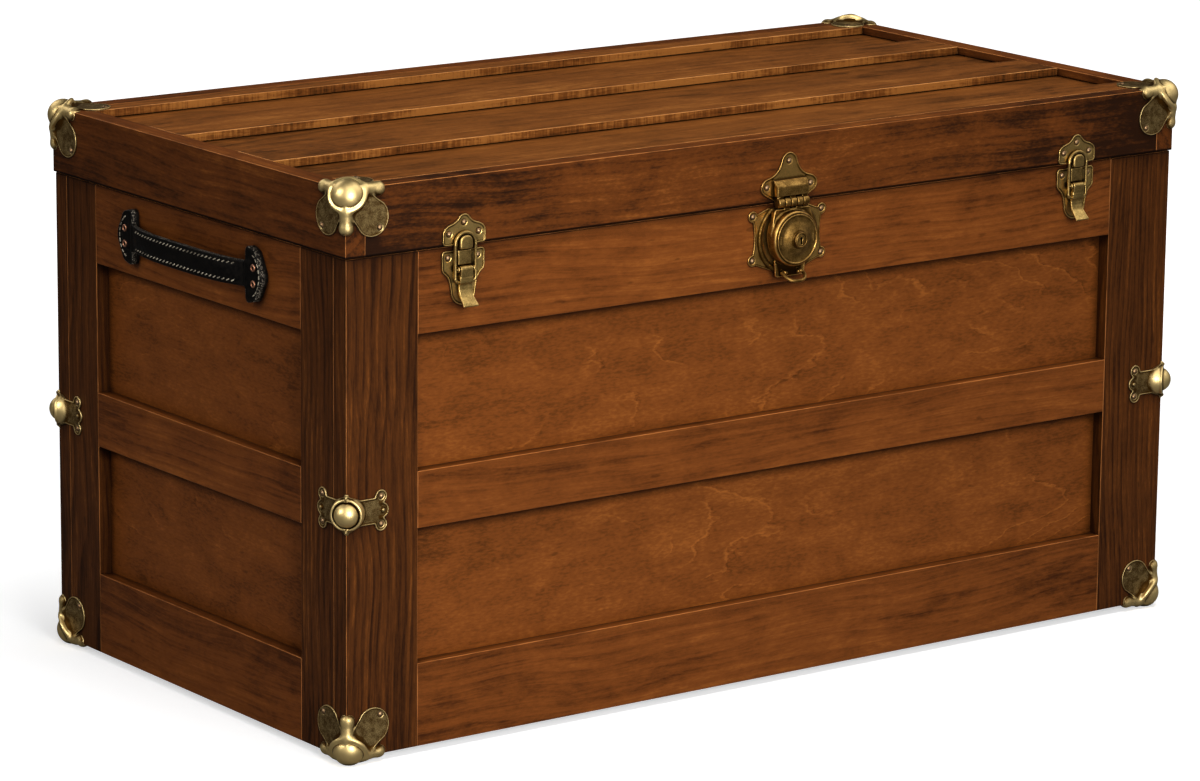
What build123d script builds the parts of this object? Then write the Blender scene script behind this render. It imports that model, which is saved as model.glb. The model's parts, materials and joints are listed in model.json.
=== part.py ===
"""Wooden storage chest: framed and panelled body, hinged lid, brass corner work,
two draw latches, a hasp lock, leather handles and slotted lid stays.

Millimetres, +Z up, +X along the front, the front faces -Y. The wood is drawn with its own
centre on x = y = 0 and its foot on z = 0; PLACE then lifts it onto its ball feet and slides
it back so that the origin is the middle of the whole chest's footprint.
"""
from build123d import *
import math
import os

os.makedirs("parts", exist_ok=True)

# ------------------------------------------------------------------ driving dimensions
LID_LENGTH, LID_DEPTH, LID_HEIGHT = 914.0, 472.0, 58.7
BODY_LENGTH, BODY_DEPTH, BODY_HEIGHT = 911.0, 469.0, 429.2
PARTING_GAP = 0.8
BOARD = 19.0                 # thickness of every frame board
PANEL = 6.4                  # thickness of every panel
EASE = 0.6                   # rounding of the boards' edges

STILE_FRONT = 72.0           # front and back stile width
STILE_SIDE = 50.0            # side stile width, between the front and back frames
BOTTOM_RAIL = (0.0, 73.0)
MIDDLE_RAIL = (191.0, 240.3)
TOP_RAIL = (358.0, BODY_HEIGHT)
RABBET = 8.0                 # how far a panel runs behind its frame
PLAY = 0.4                   # room round a panel in its rabbet or groove

LID_END_BOARD = 19.5
LID_BORDER_FRONT, LID_BORDER_BACK, LID_RAIL = 50.0, 41.0, 55.0
LID_RECESS = 8.0             # the lid panels lie this far below its top
SHADOW_GAP = 1.0             # open part of the groove above a lid panel

BALL_R, BALL_INSET, BALL_FLAT = 14.0, 7.0, 0.8
LEG_R, LEG_INSET, LEG_LENGTH = 6.0, 3.5, 34.0
PLATE = 1.2                  # brass sheet
PETAL_CENTRE, PETAL_LONG, PETAL_SHORT = 23.0, 23.0, 14.5
PETAL_NAIL = (33.5, 35.0)
CLAMP_Z, CLAMP_BALL_R, CLAMP_BALL_INSET = 212.6, 13.0, 5.5
CLAMP_NAIL = (34.5, 12.0)    # from the edge, and above or below the middle
CLAMP_LOBE_R = 6.0
NAIL_R, NAIL_HEAD, NAIL_SHANK_R, NAIL_SHANK = 2.6, 1.5, 0.8, 8.0

LATCH_X = 339.0
LOCK_X = 6.0
HINGE_XS = (-300.0, 0.0, 300.0)
STAY_R = 150.0               # hinge axis to lid pivot, and hinge axis to chest stud
STAY_LID_ANGLE, STAY_CHEST_ANGLE = 7.0, 23.0
LID_OPEN = 95.0

# ------------------------------------------------------------------ derived places
LID_Z = BODY_HEIGHT + PARTING_GAP
TOP_Z = LID_Z + LID_HEIGHT
FRONT = -BODY_DEPTH / 2
LID_PROUD = (LID_DEPTH - BODY_DEPTH) / 2
HINGE_R = 3.8
HINGE_Y, HINGE_Z = LID_DEPTH / 2 + 4.0, BODY_HEIGHT + PARTING_GAP / 2
NOSE = 22.0                  # the lock plug's reach in front of the body
FLOOR_LIFT = BALL_R - BALL_INSET - BALL_FLAT
CENTRE_Y = (BODY_DEPTH / 2 + NOSE - (HINGE_Y + HINGE_R)) / 2
PLACE = Pos(0, CENTRE_Y, FLOOR_LIFT)


# ------------------------------------------------------------------ helpers
def save(name, *solids):
    """Write one node; a node may hold several separate solids."""
    placed = [PLACE * s for shape in solids for s in shape.solids()]
    export_step(placed[0] if len(placed) == 1 else Compound(placed), f"parts/{name}.step")


def block(x, y, z, ease=EASE):
    """Box between three (low, high) pairs, with all its edges eased."""
    box = Box(x[1] - x[0], y[1] - y[0], z[1] - z[0])
    if ease:
        box = fillet(box.edges(), ease)
    return Pos((x[0] + x[1]) / 2, (y[0] + y[1]) / 2, (z[0] + z[1]) / 2) * box


def grown(span, amount):
    return (span[0] - amount, span[1] + amount)


def rod(start, end, radius):
    """Round bar between two points."""
    start, end = Vector(*start), Vector(*end)
    axis = end - start
    return extrude(Plane(origin=start, z_dir=axis) * Circle(radius), amount=axis.length)


def hull(*discs):
    """Convex outline round discs given as (u, v, radius)."""
    edges = [edge for u, v, r in discs for edge in (Pos(u, v) * Circle(r)).edges()]
    return make_hull(edges)


def ribbon(points, half_thickness):
    """Outline of a bent strip that follows the points."""
    links = [hull((*a, half_thickness), (*b, half_thickness)) for a, b in zip(points, points[1:])]
    outline = links[0]
    for link in links[1:]:
        outline += link
    return outline


def bent_wire(points, radii, wire_r):
    path = FilletPolyline(*points, radius=radii)
    return sweep(Plane(origin=path @ 0, z_dir=path % 0) * Circle(wire_r), path=path)


def on_front(outline, low, high):
    """Raise an outline in (x, z) from the body's front face: 'low' and 'high' stand proud."""
    face = Plane(origin=(0, FRONT - low, 0), x_dir=(1, 0, 0), z_dir=(0, -1, 0))
    return extrude(face * outline, amount=high - low)


def across(outline, half_width, centre_x=0.0):
    """Extrude an outline in (proud, z) to both sides of x = centre_x."""
    face = Plane(origin=(centre_x + half_width, FRONT, 0), x_dir=(0, -1, 0), z_dir=(-1, 0, 0))
    return extrude(face * outline, amount=2 * half_width)


def nail(place):
    """Domed nail, head up and shank down along the local z axis."""
    dome_r = (NAIL_R ** 2 + NAIL_HEAD ** 2) / (2 * NAIL_HEAD)
    head = Pos(0, 0, NAIL_HEAD - dome_r) * Sphere(dome_r)
    head &= Pos(0, 0, NAIL_HEAD) * Box(20, 20, 2 * NAIL_HEAD)
    shank = Pos(0, 0, -NAIL_SHANK / 2 + 0.1) * Cylinder(NAIL_SHANK_R, NAIL_SHANK + 0.2)
    return place * (head + shank)


def front_nails(spots, proud, centre_x):
    """Nails driven into the front at (x offset, z), heads on a surface that stands 'proud'."""
    return [nail(Location(Plane(origin=(centre_x + x, FRONT - proud, z), z_dir=(0, -1, 0))))
            for x, z in spots]


# ------------------------------------------------------------------ body frames and panels
def wall(half_width, stile):
    """Framed wall seen from outside: outer face on y = 0, boards behind it.
    Gives two stiles, three rails (bottom, middle, top) and two panels (lower, upper)."""
    inner = half_width - stile
    thick = (0.0, BOARD)
    behind = (BOARD - PANEL, BOARD)
    stiles = [block((-half_width, -inner), thick, (0, BODY_HEIGHT)),
              block((inner, half_width), thick, (0, BODY_HEIGHT))]
    rails = [block((-inner, inner), thick, band) for band in (BOTTOM_RAIL, MIDDLE_RAIL, TOP_RAIL)]
    panels = []
    for low, high in ((BOTTOM_RAIL[1], MIDDLE_RAIL[0]), (MIDDLE_RAIL[1], TOP_RAIL[0])):
        across_x, across_z = grown((-inner, inner), RABBET), grown((low, high), RABBET)
        rabbet = block(across_x, (behind[0], behind[1] + 1), across_z, 0)
        panels.append(block(grown(across_x, -PLAY), behind, grown(across_z, -PLAY), 0))
        stiles = [board - rabbet for board in stiles]
        rails = [board - rabbet for board in rails]
    return stiles, rails, panels


SIDE_HALF = BODY_DEPTH / 2 - BOARD
WALLS = {
    "front": (Pos(0, FRONT, 0), BODY_LENGTH / 2, STILE_FRONT),
    "back": (Pos(0, -FRONT, 0) * Rot(0, 0, 180), BODY_LENGTH / 2, STILE_FRONT),
    "left": (Pos(-BODY_LENGTH / 2, 0, 0) * Rot(0, 0, -90), SIDE_HALF, STILE_SIDE),
    "right": (Pos(BODY_LENGTH / 2, 0, 0) * Rot(0, 0, 90), SIDE_HALF, STILE_SIDE),
}
for side, (place, half_width, stile) in WALLS.items():
    stiles, rails, panels = ([place * piece for piece in group]
                             for group in wall(half_width, stile))
    if side == "front":
        save("front_stile_left", stiles[0])
        save("front_stile_right", stiles[1])
        for height, piece in zip(("bottom", "middle", "top"), rails):
            save(f"front_{height}_rail", piece)
        save("front_lower_panel", panels[0])
        save("front_upper_panel", panels[1])
    else:
        save(f"{side}_stiles", *stiles)
        save(f"{side}_rails", *rails)
        save(f"{side}_panels", *panels)

# ------------------------------------------------------------------ floor of the chest
INSIDE_X, INSIDE_Y = BODY_LENGTH / 2 - BOARD, BODY_DEPTH / 2 - BOARD
CLEAT = 18.0
CLEAT_Z = (0.0, CLEAT)
FLOOR_Z = (CLEAT_Z[1], CLEAT_Z[1] + 9.0)
save("bottom_board", block((-INSIDE_X + PLAY, INSIDE_X - PLAY),
                           (-INSIDE_Y + PLAY, INSIDE_Y - PLAY), FLOOR_Z, 0))
cleats = []
for side in (-1, 1):
    long_y = sorted((side * INSIDE_Y, side * (INSIDE_Y - CLEAT)))
    end_x = sorted((side * INSIDE_X, side * (INSIDE_X - CLEAT)))
    cleats.append(block((-INSIDE_X, INSIDE_X), long_y, CLEAT_Z))
    cleats.append(block(end_x, (-INSIDE_Y + CLEAT, INSIDE_Y - CLEAT), CLEAT_Z))
save("bottom_cleats", *cleats)

# ------------------------------------------------------------------ lid
LID_X, LID_Y = LID_LENGTH / 2, LID_DEPTH / 2
LID_INNER_X = LID_X - LID_END_BOARD
lid_span = (LID_Z, TOP_Z)
rail_span = (TOP_Z - BOARD, TOP_Z)
field = (-LID_Y + LID_BORDER_FRONT, LID_Y - LID_BORDER_BACK)
panel_width = (field[1] - field[0] - 2 * LID_RAIL) / 3
panel_ys = [(field[0] + i * (panel_width + LID_RAIL),
             field[0] + i * (panel_width + LID_RAIL) + panel_width) for i in range(3)]
panel_z = (TOP_Z - LID_RECESS - PANEL, TOP_Z - LID_RECESS)
between = (-LID_INNER_X, LID_INNER_X)

lid_boards = {
    "lid_left_board": [((-LID_X, -LID_INNER_X), (-LID_Y, LID_Y), lid_span)],
    "lid_right_board": [((LID_INNER_X, LID_X), (-LID_Y, LID_Y), lid_span)],
    "lid_front_board": [(between, (-LID_Y, -LID_Y + BOARD), lid_span)],
    "lid_back_board": [(between, (LID_Y - BOARD, LID_Y), lid_span)],
    "lid_front_rail": [(between, (-LID_Y + BOARD, field[0]), rail_span)],
    "lid_back_rail": [(between, (field[1], LID_Y - BOARD), rail_span)],
    "lid_middle_rails": [(between, (panel_ys[i][1], panel_ys[i + 1][0]), rail_span)
                         for i in range(2)],
}
grooves = [block(grown(between, RABBET), grown(ys, RABBET),
                 (panel_z[0] - 0.1, panel_z[1] + SHADOW_GAP), 0) for ys in panel_ys]
for name, spans in lid_boards.items():
    boards = [block(*span) for span in spans]
    for groove in grooves:
        boards = [board - groove for board in boards]
    save(name, *boards)
for name, ys in zip(("front", "middle", "back"), panel_ys):
    save(f"lid_{name}_panel", block(grown(between, RABBET - PLAY), grown(ys, RABBET - PLAY),
                                    panel_z, 0))


# ------------------------------------------------------------------ corner caps
def corner_cap(flat_foot):
    """Cap on a corner at the origin, with the wood in the octant of positive x, y and z."""
    cap = Pos(BALL_INSET, BALL_INSET, BALL_INSET) * Sphere(BALL_R)
    near, far = LEG_INSET, LEG_LENGTH
    for tip in ((far, near, near), (near, far, near), (near, near, far)):
        cap += rod((near, near, near), tip, LEG_R) + Pos(*tip) * Sphere(LEG_R)
    petal = (Pos(PETAL_CENTRE, PETAL_CENTRE) * Rot(0, 0, 45)
             * Ellipse(PETAL_LONG, PETAL_SHORT))
    for face in (Plane((0, 0, 0), (0, 1, 0), (0, 0, -1)), Plane((0, 0, 0), (1, 0, 0), (0, -1, 0)),
                 Plane((0, 0, 0), (0, 1, 0), (1, 0, 0))):
        sheet = extrude(face * petal, amount=PLATE, both=True)
        corner_room = Pos(30, 30, 30) * Box(64, 64, 64)
        cap += sheet & corner_room
    cap -= Pos(50, 50, 50) * Box(100, 100, 100)
    if flat_foot:
        cap -= Pos(0, 0, -FLOOR_LIFT - 10) * Box(100, 100, 20)
    return cap


def corner_copies(shape, half_x, half_y, z, up):
    """Four mirrored copies on a box's corners; up = 1 opens upwards from the foot."""
    copies = []
    for sx in (-1, 1):
        for sy in (-1, 1):
            piece = shape
            if sx > 0:
                piece = mirror(piece, about=Plane.YZ)
            if sy > 0:
                piece = mirror(piece, about=Plane.XZ)
            if up < 0:
                piece = mirror(piece, about=Plane.XY)
            copies.append(Pos(sx * half_x, sy * half_y, z) * piece)
    return copies


def corner_nails(half_x, half_y, z, up, proud=PLATE):
    """One nail in each upright petal of four caps."""
    out, along = PETAL_NAIL
    nails = []
    for sx in (-1, 1):
        for sy in (-1, 1):
            height = z + up * along
            nails.append(nail(Location(Plane(
                origin=(sx * (half_x - out), sy * (half_y + proud), height), z_dir=(0, sy, 0)))))
            nails.append(nail(Location(Plane(
                origin=(sx * (half_x + proud), sy * (half_y - out), height), z_dir=(sx, 0, 0)))))
    return nails


def flat_nails(half_x, half_y, z, up, proud=PLATE):
    """One nail in each level petal of four caps."""
    out, along = PETAL_NAIL
    return [nail(Location(Plane(origin=(sx * (half_x - out), sy * (half_y - along), z + up * proud),
                                z_dir=(0, 0, up))))
            for sx in (-1, 1) for sy in (-1, 1)]


body_corner = (BODY_LENGTH / 2, BODY_DEPTH / 2)
lid_corner = (LID_X, LID_Y)
save("bottom_corner_caps", *corner_copies(corner_cap(True), *body_corner, 0.0, 1))
save("top_corner_caps", *corner_copies(corner_cap(False), *lid_corner, TOP_Z, -1))
chest_nails = corner_nails(*body_corner, 0.0, 1) + flat_nails(*body_corner, 0.0, -1)
lid_nails = corner_nails(*lid_corner, TOP_Z, -1) + flat_nails(*lid_corner, TOP_Z, 1)


# ------------------------------------------------------------------ edge clamps
def edge_clamp():
    """Clamp round an upright edge at the origin, wood in the quadrant of positive x and y."""
    out, rise = CLAMP_NAIL
    wing = hull((4, 11, 3), (4, -11, 3), (30, 9, 4), (30, -9, 4))
    for u, v in ((out, rise), (out, -rise), (out + 1.5, 0)):
        wing += Pos(u, v) * Circle(CLAMP_LOBE_R)
    clamp = Pos(CLAMP_BALL_INSET, CLAMP_BALL_INSET, 0) * Sphere(CLAMP_BALL_R)
    clamp += extrude(Plane((0, 0, 0), (1, 0, 0), (0, -1, 0)) * wing, amount=PLATE)
    clamp += extrude(Plane((0, 0, 0), (0, 1, 0), (-1, 0, 0)) * wing, amount=PLATE)
    clamp += Box(2 * PLATE, 2 * PLATE, 28)
    return clamp - Pos(50, 50, 0) * Box(100, 100, 100)


save("edge_clamps", *corner_copies(edge_clamp(), *body_corner, CLAMP_Z, 1))
out, rise = CLAMP_NAIL
for sx in (-1, 1):
    for sy in (-1, 1):
        for sz in (-1, 1):
            z = CLAMP_Z + sz * rise
            chest_nails.append(nail(Location(Plane(
                origin=(sx * (body_corner[0] - out), sy * (body_corner[1] + PLATE), z),
                z_dir=(0, sy, 0)))))
            chest_nails.append(nail(Location(Plane(
                origin=(sx * (body_corner[0] + PLATE), sy * (body_corner[1] - out), z),
                z_dir=(sx, 0, 0)))))

# ------------------------------------------------------------------ draw latches
PIVOT = (5.0, 409.5)         # lever pivot as (proud, z)
LOOP_PIVOT = (4.6, 399.0)
LEVER_HALF = 6.65
LATCH_PIN_R, RUNNING = 1.2, 0.08
BRIDGE_PROUD, BRIDGE_Z = 4.0, (413.2, 425.6)
EAR_X, EAR_HALF = LEVER_HALF + 1.05, 0.7
LOOP_WIRE_R, LOOP_HALF, LOOP_TOP = 1.4, 10.3, 440.8
CATCH_Z, CATCH_CORNER, CATCH_CROWN_R = (426.6, 438.5), 2.4, 5.6
LEVER_PATH = (LOOP_PIVOT, (4.4, 393.0), (6.4, 387.5), (10.0, 383.6), (14.4, 381.6))
LATCH_BASE_NAILS = ((-15.0, 419.5), (15.0, 419.5))
LATCH_CATCH_NAILS = ((0.0, 449.0), (-15.0, 440.0), (15.0, 440.0))


def latch_base():
    plate = on_front(hull((-15.5, 419.8, 6.2), (15.5, 419.8, 6.2), (0, 390.6, 12.0)), 0, PLATE)
    bridge = block((-LEVER_HALF, LEVER_HALF), (FRONT - BRIDGE_PROUD, FRONT - PLATE / 2),
                   BRIDGE_Z, 0.4)
    ear = hull((PIVOT[0], PIVOT[1], 2.4), (PLATE / 2, PIVOT[1], 2.4))
    ears = across(ear, EAR_HALF, -EAR_X) + across(ear, EAR_HALF, EAR_X)
    pin_hole = across(Pos(*PIVOT) * Circle(LATCH_PIN_R), 12)
    keep = Pos(0, FRONT - 25, 400) * Box(80, 50, 100)
    return (plate + bridge + ears) & keep, pin_hole


def latch_lever():
    profile = hull((*PIVOT, 2.9), (*LOOP_PIVOT, 2.6)) + ribbon(LEVER_PATH, 0.9)
    lever = across(profile, LEVER_HALF) - across(Pos(*PIVOT) * Circle(LATCH_PIN_R + RUNNING), 12)
    eye = Pos(*LOOP_PIVOT) * Circle(LOOP_WIRE_R + RUNNING)
    for side in (-1, 1):
        lever -= across(eye, 2.0, side * (LEVER_HALF + 0.1))
    return lever


def latch_loop():
    """Wire loop, its ends turned in to the lever."""
    proud, foot = LOOP_PIVOT
    y = FRONT - proud
    inset = LEVER_HALF - 1.6
    points = ((inset, y, foot), (LOOP_HALF, y, foot), (LOOP_HALF, y, LOOP_TOP),
              (-LOOP_HALF, y, LOOP_TOP), (-LOOP_HALF, y, foot), (-inset, y, foot))
    return bent_wire(points, (2.6, LOOP_HALF - 0.1, LOOP_HALF - 0.1, 2.6), LOOP_WIRE_R)


def catch_plate():
    outline = hull((0, 448.6, 7.2), (-15.2, 440, 6.5), (15.2, 440, 6.5),
                   (-18.2, 433.9, 3.4), (18.2, 433.9, 3.4))
    plate = on_front(outline, LID_PROUD, LID_PROUD + PLATE)
    inset, foot = LEVER_HALF - CATCH_CORNER, CATCH_Z[0] + CATCH_CORNER
    crown, crown_r = CATCH_Z[1] - CATCH_CROWN_R, CATCH_CROWN_R
    rise = hull((-inset, foot, CATCH_CORNER), (inset, foot, CATCH_CORNER),
                (crown_r - LEVER_HALF, crown, crown_r), (LEVER_HALF - crown_r, crown, crown_r))
    catch = on_front(rise, LID_PROUD + PLATE / 2, LID_PROUD + PLATE + 4.4)
    return plate + fillet(catch.faces().sort_by(Axis.Y)[0].edges(), CATCH_CORNER * 0.6)


latch_plates, latch_pins, catches = [], [], []
for side, sx in (("left", -1), ("right", 1)):
    place = Pos(sx * LATCH_X, 0, 0)
    plate, pin_hole = latch_base()
    latch_plates.append(place * (plate - pin_hole))
    latch_pins.append(place * across(Pos(*PIVOT) * Circle(LATCH_PIN_R), LEVER_HALF + 1.8))
    catches.append(place * catch_plate())
    save(f"latch_lever_{side}", place * latch_lever())
    save(f"latch_loop_{side}", place * latch_loop())
    chest_nails += front_nails(LATCH_BASE_NAILS, PLATE, sx * LATCH_X)
    lid_nails += front_nails(LATCH_CATCH_NAILS, LID_PROUD + PLATE, sx * LATCH_X)
save("latch_base_plates", *latch_plates)
save("latch_pins", *latch_pins)
save("latch_catch_plates", *catches)

# ------------------------------------------------------------------ hasp lock
CUP_Z, CUP_R, CUP_BACK, CUP_FRONT = 398.5, 25.0, 3.8, 15.0
BEAD_R, BEAD = 31.0, 1.9
LOCK_BASE_TOP = 425.6
KNUCKLE = (7.2, 430.4)
KNUCKLE_R, KNUCKLE_HALF, LOCK_PIN_R = 4.4, 16.75, 1.6
HASP_KNUCKLES = ((-9.9, -3.5), (3.5, 9.9))
PLATE_KNUCKLES = ((-16.75, -10.3), (-3.1, 3.1), (10.3, 16.75))
PLUG_R = 5.0
DOME_R, DOME = 15.0, 6.2
KEEPER_Z, KEEPER_W, KEEPER_PROUD = (382.0, 385.6), 8.0, 10.4
BAIL_PIVOT, BAIL_WIRE_R, BAIL_HALF = (9.2, 368.0), 1.0, 11.2
BAIL_DROP, BAIL_TILT = 11.0, 50.0
LUG_X, LUG_HALF, LUG_R = 8.6, 0.9, 2.2
LOCK_BASE_NAILS = ((-38, 419.5), (38, 419.5), (-38, 380.5), (38, 380.5))
HASP_PLATE_NAILS = ((0, 466), (-24.2, 444), (24.2, 444))
lock_place = Pos(LOCK_X, 0, 0)


def ring_profile(z, outer, inner):
    return Pos(0, z) * (Circle(outer) - Circle(inner))


def lock_base():
    outline = hull((-33, 416, 5), (33, 416, 5), (-33, 377, 5), (33, 377, 5), (0, CUP_Z, BEAD_R + 2))
    for u, v in LOCK_BASE_NAILS:
        outline += Pos(u, v) * Circle(4.8)
    plate = on_front(outline, 0, PLATE)
    bead = on_front(ring_profile(CUP_Z, BEAD_R + 1.6, BEAD_R - 1.6), PLATE / 2, PLATE + BEAD)
    shelf = Pos(0, sum(KEEPER_Z) / 2) * Rectangle(KEEPER_W, KEEPER_Z[1] - KEEPER_Z[0])
    keeper = on_front(shelf, PLATE / 2, KEEPER_PROUD)
    lip = on_front(Pos(0, KEEPER_Z[1] + 1.4) * Rectangle(KEEPER_W, 2.9),
                   KEEPER_PROUD - 1.6, KEEPER_PROUD)
    below_lid = Pos(0, FRONT, LOCK_BASE_TOP - 50) * Box(120, 40, 100)
    return (plate + bead + keeper + lip) & below_lid


def hasp_plate():
    outline = hull((0, 466, 6.2), (-9, 449, 8), (9, 449, 8))
    outline += hull((-24.2, 444, 6.4), (24.2, 444, 6.4), (-14, 437, 6.2), (14, 437, 6.2))
    plate = on_front(outline, LID_PROUD, LID_PROUD + PLATE)
    cover = block((-17.8, 17.8), (FRONT - 9.0, FRONT - LID_PROUD - PLATE / 2), (436.2, 450), 1.4)
    for low, high in PLATE_KNUCKLES:
        mid, half = (low + high) / 2, (high - low) / 2
        knuckle = hull((*KNUCKLE, KNUCKLE_R), (KNUCKLE[0] - 1.2, KNUCKLE[1] + 4, 2.6))
        plate += across(knuckle, half, mid)
    keep = Pos(0, FRONT - LID_PROUD - 25, 450) * Box(80, 50, 60)
    return ((plate + cover) & keep) - across(Pos(*KNUCKLE) * Circle(LOCK_PIN_R), 20)


def hasp():
    shell = on_front(Pos(0, CUP_Z) * Circle(CUP_R), CUP_BACK, CUP_FRONT)
    neck = hull((-17, 421.8, 3.2), (17, 421.8, 3.2),
                (-CUP_R + 6, CUP_Z + 4, 5), (CUP_R - 6, CUP_Z + 4, 5))
    shell += on_front(neck, CUP_BACK, CUP_BACK + 5.0)
    disc = on_front(Pos(0, CUP_Z) * Circle(22), CUP_FRONT - 0.5, CUP_FRONT + 1.4)
    dome = (Pos(0, FRONT - CUP_FRONT - DOME / 2, CUP_Z) * Rot(90, 0, 0)
            * Cone(DOME_R, PLUG_R + 1.6, DOME))
    tab = on_front(hull((-13.5, 366.5, 2.4), (13.5, 366.5, 2.4), (-15, 378, 2), (15, 378, 2)),
                   CUP_BACK, CUP_BACK + 1.6)
    shell += disc + dome + tab
    shell -= on_front(Pos(0, CUP_Z) * Circle(CUP_R - 1.8), CUP_BACK - 1, CUP_FRONT - 1.2)
    shell -= on_front(Pos(0, CUP_Z) * Circle(PLUG_R + RUNNING), 0, 40)
    for low, high in HASP_KNUCKLES:
        knuckle = hull((*KNUCKLE, KNUCKLE_R), (CUP_BACK + 1.2, 423.6, 1.2))
        shell += across(knuckle, (high - low) / 2, (low + high) / 2)
    shell -= across(Pos(*KNUCKLE) * Circle(LOCK_PIN_R + RUNNING), 20)
    for side in (-1, 1):
        lug = hull((*BAIL_PIVOT, LUG_R), (CUP_BACK + LUG_R, BAIL_PIVOT[1], LUG_R))
        shell += across(lug, LUG_HALF, side * LUG_X)
    shell -= across(Pos(*BAIL_PIVOT) * Circle(BAIL_WIRE_R + RUNNING), 20)
    return shell


def key_plug():
    plug = on_front(Pos(0, CUP_Z) * Circle(PLUG_R), 8.2, NOSE)
    slot = on_front(Pos(0, CUP_Z - 0.6) * Rectangle(1.4, 5.6), NOSE - 4, NOSE + 1)
    return plug - slot


def lock_cam():
    """Cam behind the plug: level when unlocked, down behind the keeper's lip when locked."""
    arm = hull((0, CUP_Z, 5.0), (9.2, CUP_Z, 2.6))
    return on_front(arm, 6.2, 8.2)


def pull_ring():
    inner = LUG_X - LUG_HALF - 0.4
    points = ((inner, 0, 0), (BAIL_HALF, 0, 0), (BAIL_HALF, 0, -BAIL_DROP),
              (-BAIL_HALF, 0, -BAIL_DROP), (-BAIL_HALF, 0, 0), (-inner, 0, 0))
    bail = bent_wire(points, (1.6, 9.0, 9.0, 1.6), BAIL_WIRE_R)
    return Pos(0, FRONT - BAIL_PIVOT[0], BAIL_PIVOT[1]) * Rot(-BAIL_TILT, 0, 0) * bail


save("lock_base_plate", lock_place * lock_base())
save("hasp_plate", lock_place * hasp_plate())
save("hasp_pin", lock_place * across(Pos(*KNUCKLE) * Circle(LOCK_PIN_R), KNUCKLE_HALF))
save("hasp", lock_place * hasp())
save("key_plug", lock_place * key_plug())
save("lock_cam", lock_place * lock_cam())
save("pull_ring", lock_place * pull_ring())
chest_nails += front_nails(LOCK_BASE_NAILS, PLATE, LOCK_X)
lid_nails += front_nails(HASP_PLATE_NAILS, LID_PROUD + PLATE, LOCK_X)

# ------------------------------------------------------------------ back hinges
LEAF, LEAF_HALF, PIN_R = 1.5, 30.0, 1.8
OUTER_KNUCKLES, INNER_KNUCKLE = ((-30.0, -10.2), (10.2, 30.0)), (-9.8, 9.8)
lower_leaves, upper_leaves, hinge_pins = [], [], []
axis_at = (HINGE_Y, HINGE_Z)
for x in HINGE_XS:
    place = Pos(x, 0, 0)
    lower = block((-LEAF_HALF, LEAF_HALF), (BODY_DEPTH / 2, BODY_DEPTH / 2 + LEAF),
                  (HINGE_Z - 33.6, HINGE_Z - 0.6), 0.4)
    upper = block((-LEAF_HALF, LEAF_HALF), (LID_Y, LID_Y + LEAF),
                  (HINGE_Z + 4.4, HINGE_Z + 34), 0.4)
    for low, high in OUTER_KNUCKLES:
        lower += rod((low, *axis_at), (high, *axis_at), HINGE_R)
        lower += block((low, high), (BODY_DEPTH / 2 + 0.2, HINGE_Y),
                       (HINGE_Z - HINGE_R, HINGE_Z - 1.2), 0)
    low, high = INNER_KNUCKLE
    upper += rod((low, *axis_at), (high, *axis_at), HINGE_R)
    upper += block((low, high), (LID_Y + 0.1, HINGE_Y), (HINGE_Z + 1.2, HINGE_Z + 5.0), 0)
    lower -= rod((-40, *axis_at), (40, *axis_at), PIN_R)
    upper -= rod((-40, *axis_at), (40, *axis_at), PIN_R + RUNNING)
    lower_leaves.append(place * lower)
    upper_leaves.append(place * upper)
    hinge_pins.append(place * rod((-LEAF_HALF, *axis_at), (LEAF_HALF, *axis_at), PIN_R))
    for dx in (-20, 0, 20):
        chest_nails.append(nail(Location(Plane(origin=(x + dx, BODY_DEPTH / 2 + LEAF, 408.0),
                                               z_dir=(0, 1, 0)))))
        lid_nails.append(nail(Location(Plane(origin=(x + dx, LID_Y + LEAF, HINGE_Z + 22),
                                             z_dir=(0, 1, 0)))))
save("hinge_leaves_lower", *lower_leaves)
save("hinge_leaves_upper", *upper_leaves)
save("hinge_pins", *hinge_pins)


# ------------------------------------------------------------------ lid stays
def about_hinge(angle):
    """Point in (y, z) at the stay's radius; the angle is degrees above straight forwards."""
    turn = math.radians(angle)
    return (HINGE_Y - STAY_R * math.cos(turn), HINGE_Z + STAY_R * math.sin(turn))


STAY_LID_POINT, STAY_STUD_POINT = about_hinge(STAY_LID_ANGLE), about_hinge(-STAY_CHEST_ANGLE)
CLOSED_ANGLE = STAY_LID_ANGLE + STAY_CHEST_ANGLE
SLOT_NEAR = 2 * STAY_R * math.sin(math.radians(CLOSED_ANGLE / 2))
SLOT_FAR = 2 * STAY_R * math.sin(math.radians((CLOSED_ANGLE + LID_OPEN) / 2))
STAY_PLANE = (431.0, 433.0)
STUD_R, SLOT_HALF, STAY_PIN_R = 2.6, 3.0, 2.5
SLOT_END_ROOM = 1.0
STAY_TIP = 8.0
stay_direction = math.degrees(math.atan2(STAY_STUD_POINT[1] - STAY_LID_POINT[1],
                                         STAY_STUD_POINT[0] - STAY_LID_POINT[0]))


def lid_stay(side):
    """Slotted bar drawn along local x from its lid pivot, then stood up beside the end wall."""
    slot_ends = (SLOT_NEAR - SLOT_END_ROOM, SLOT_FAR + SLOT_END_ROOM)
    bar = hull((0, 0, 7.0), (SLOT_FAR + STAY_TIP, 0, 6.5))
    bar -= hull((slot_ends[0], 0, SLOT_HALF), (slot_ends[1], 0, SLOT_HALF))
    bar -= Circle(STAY_PIN_R + RUNNING)
    low = min(side * STAY_PLANE[0], side * STAY_PLANE[1])
    turn = math.radians(stay_direction)
    plane = Plane(origin=(low, *STAY_LID_POINT), x_dir=(0, math.cos(turn), math.sin(turn)),
                  z_dir=(1, 0, 0))
    return extrude(plane * bar, amount=STAY_PLANE[1] - STAY_PLANE[0])


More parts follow.
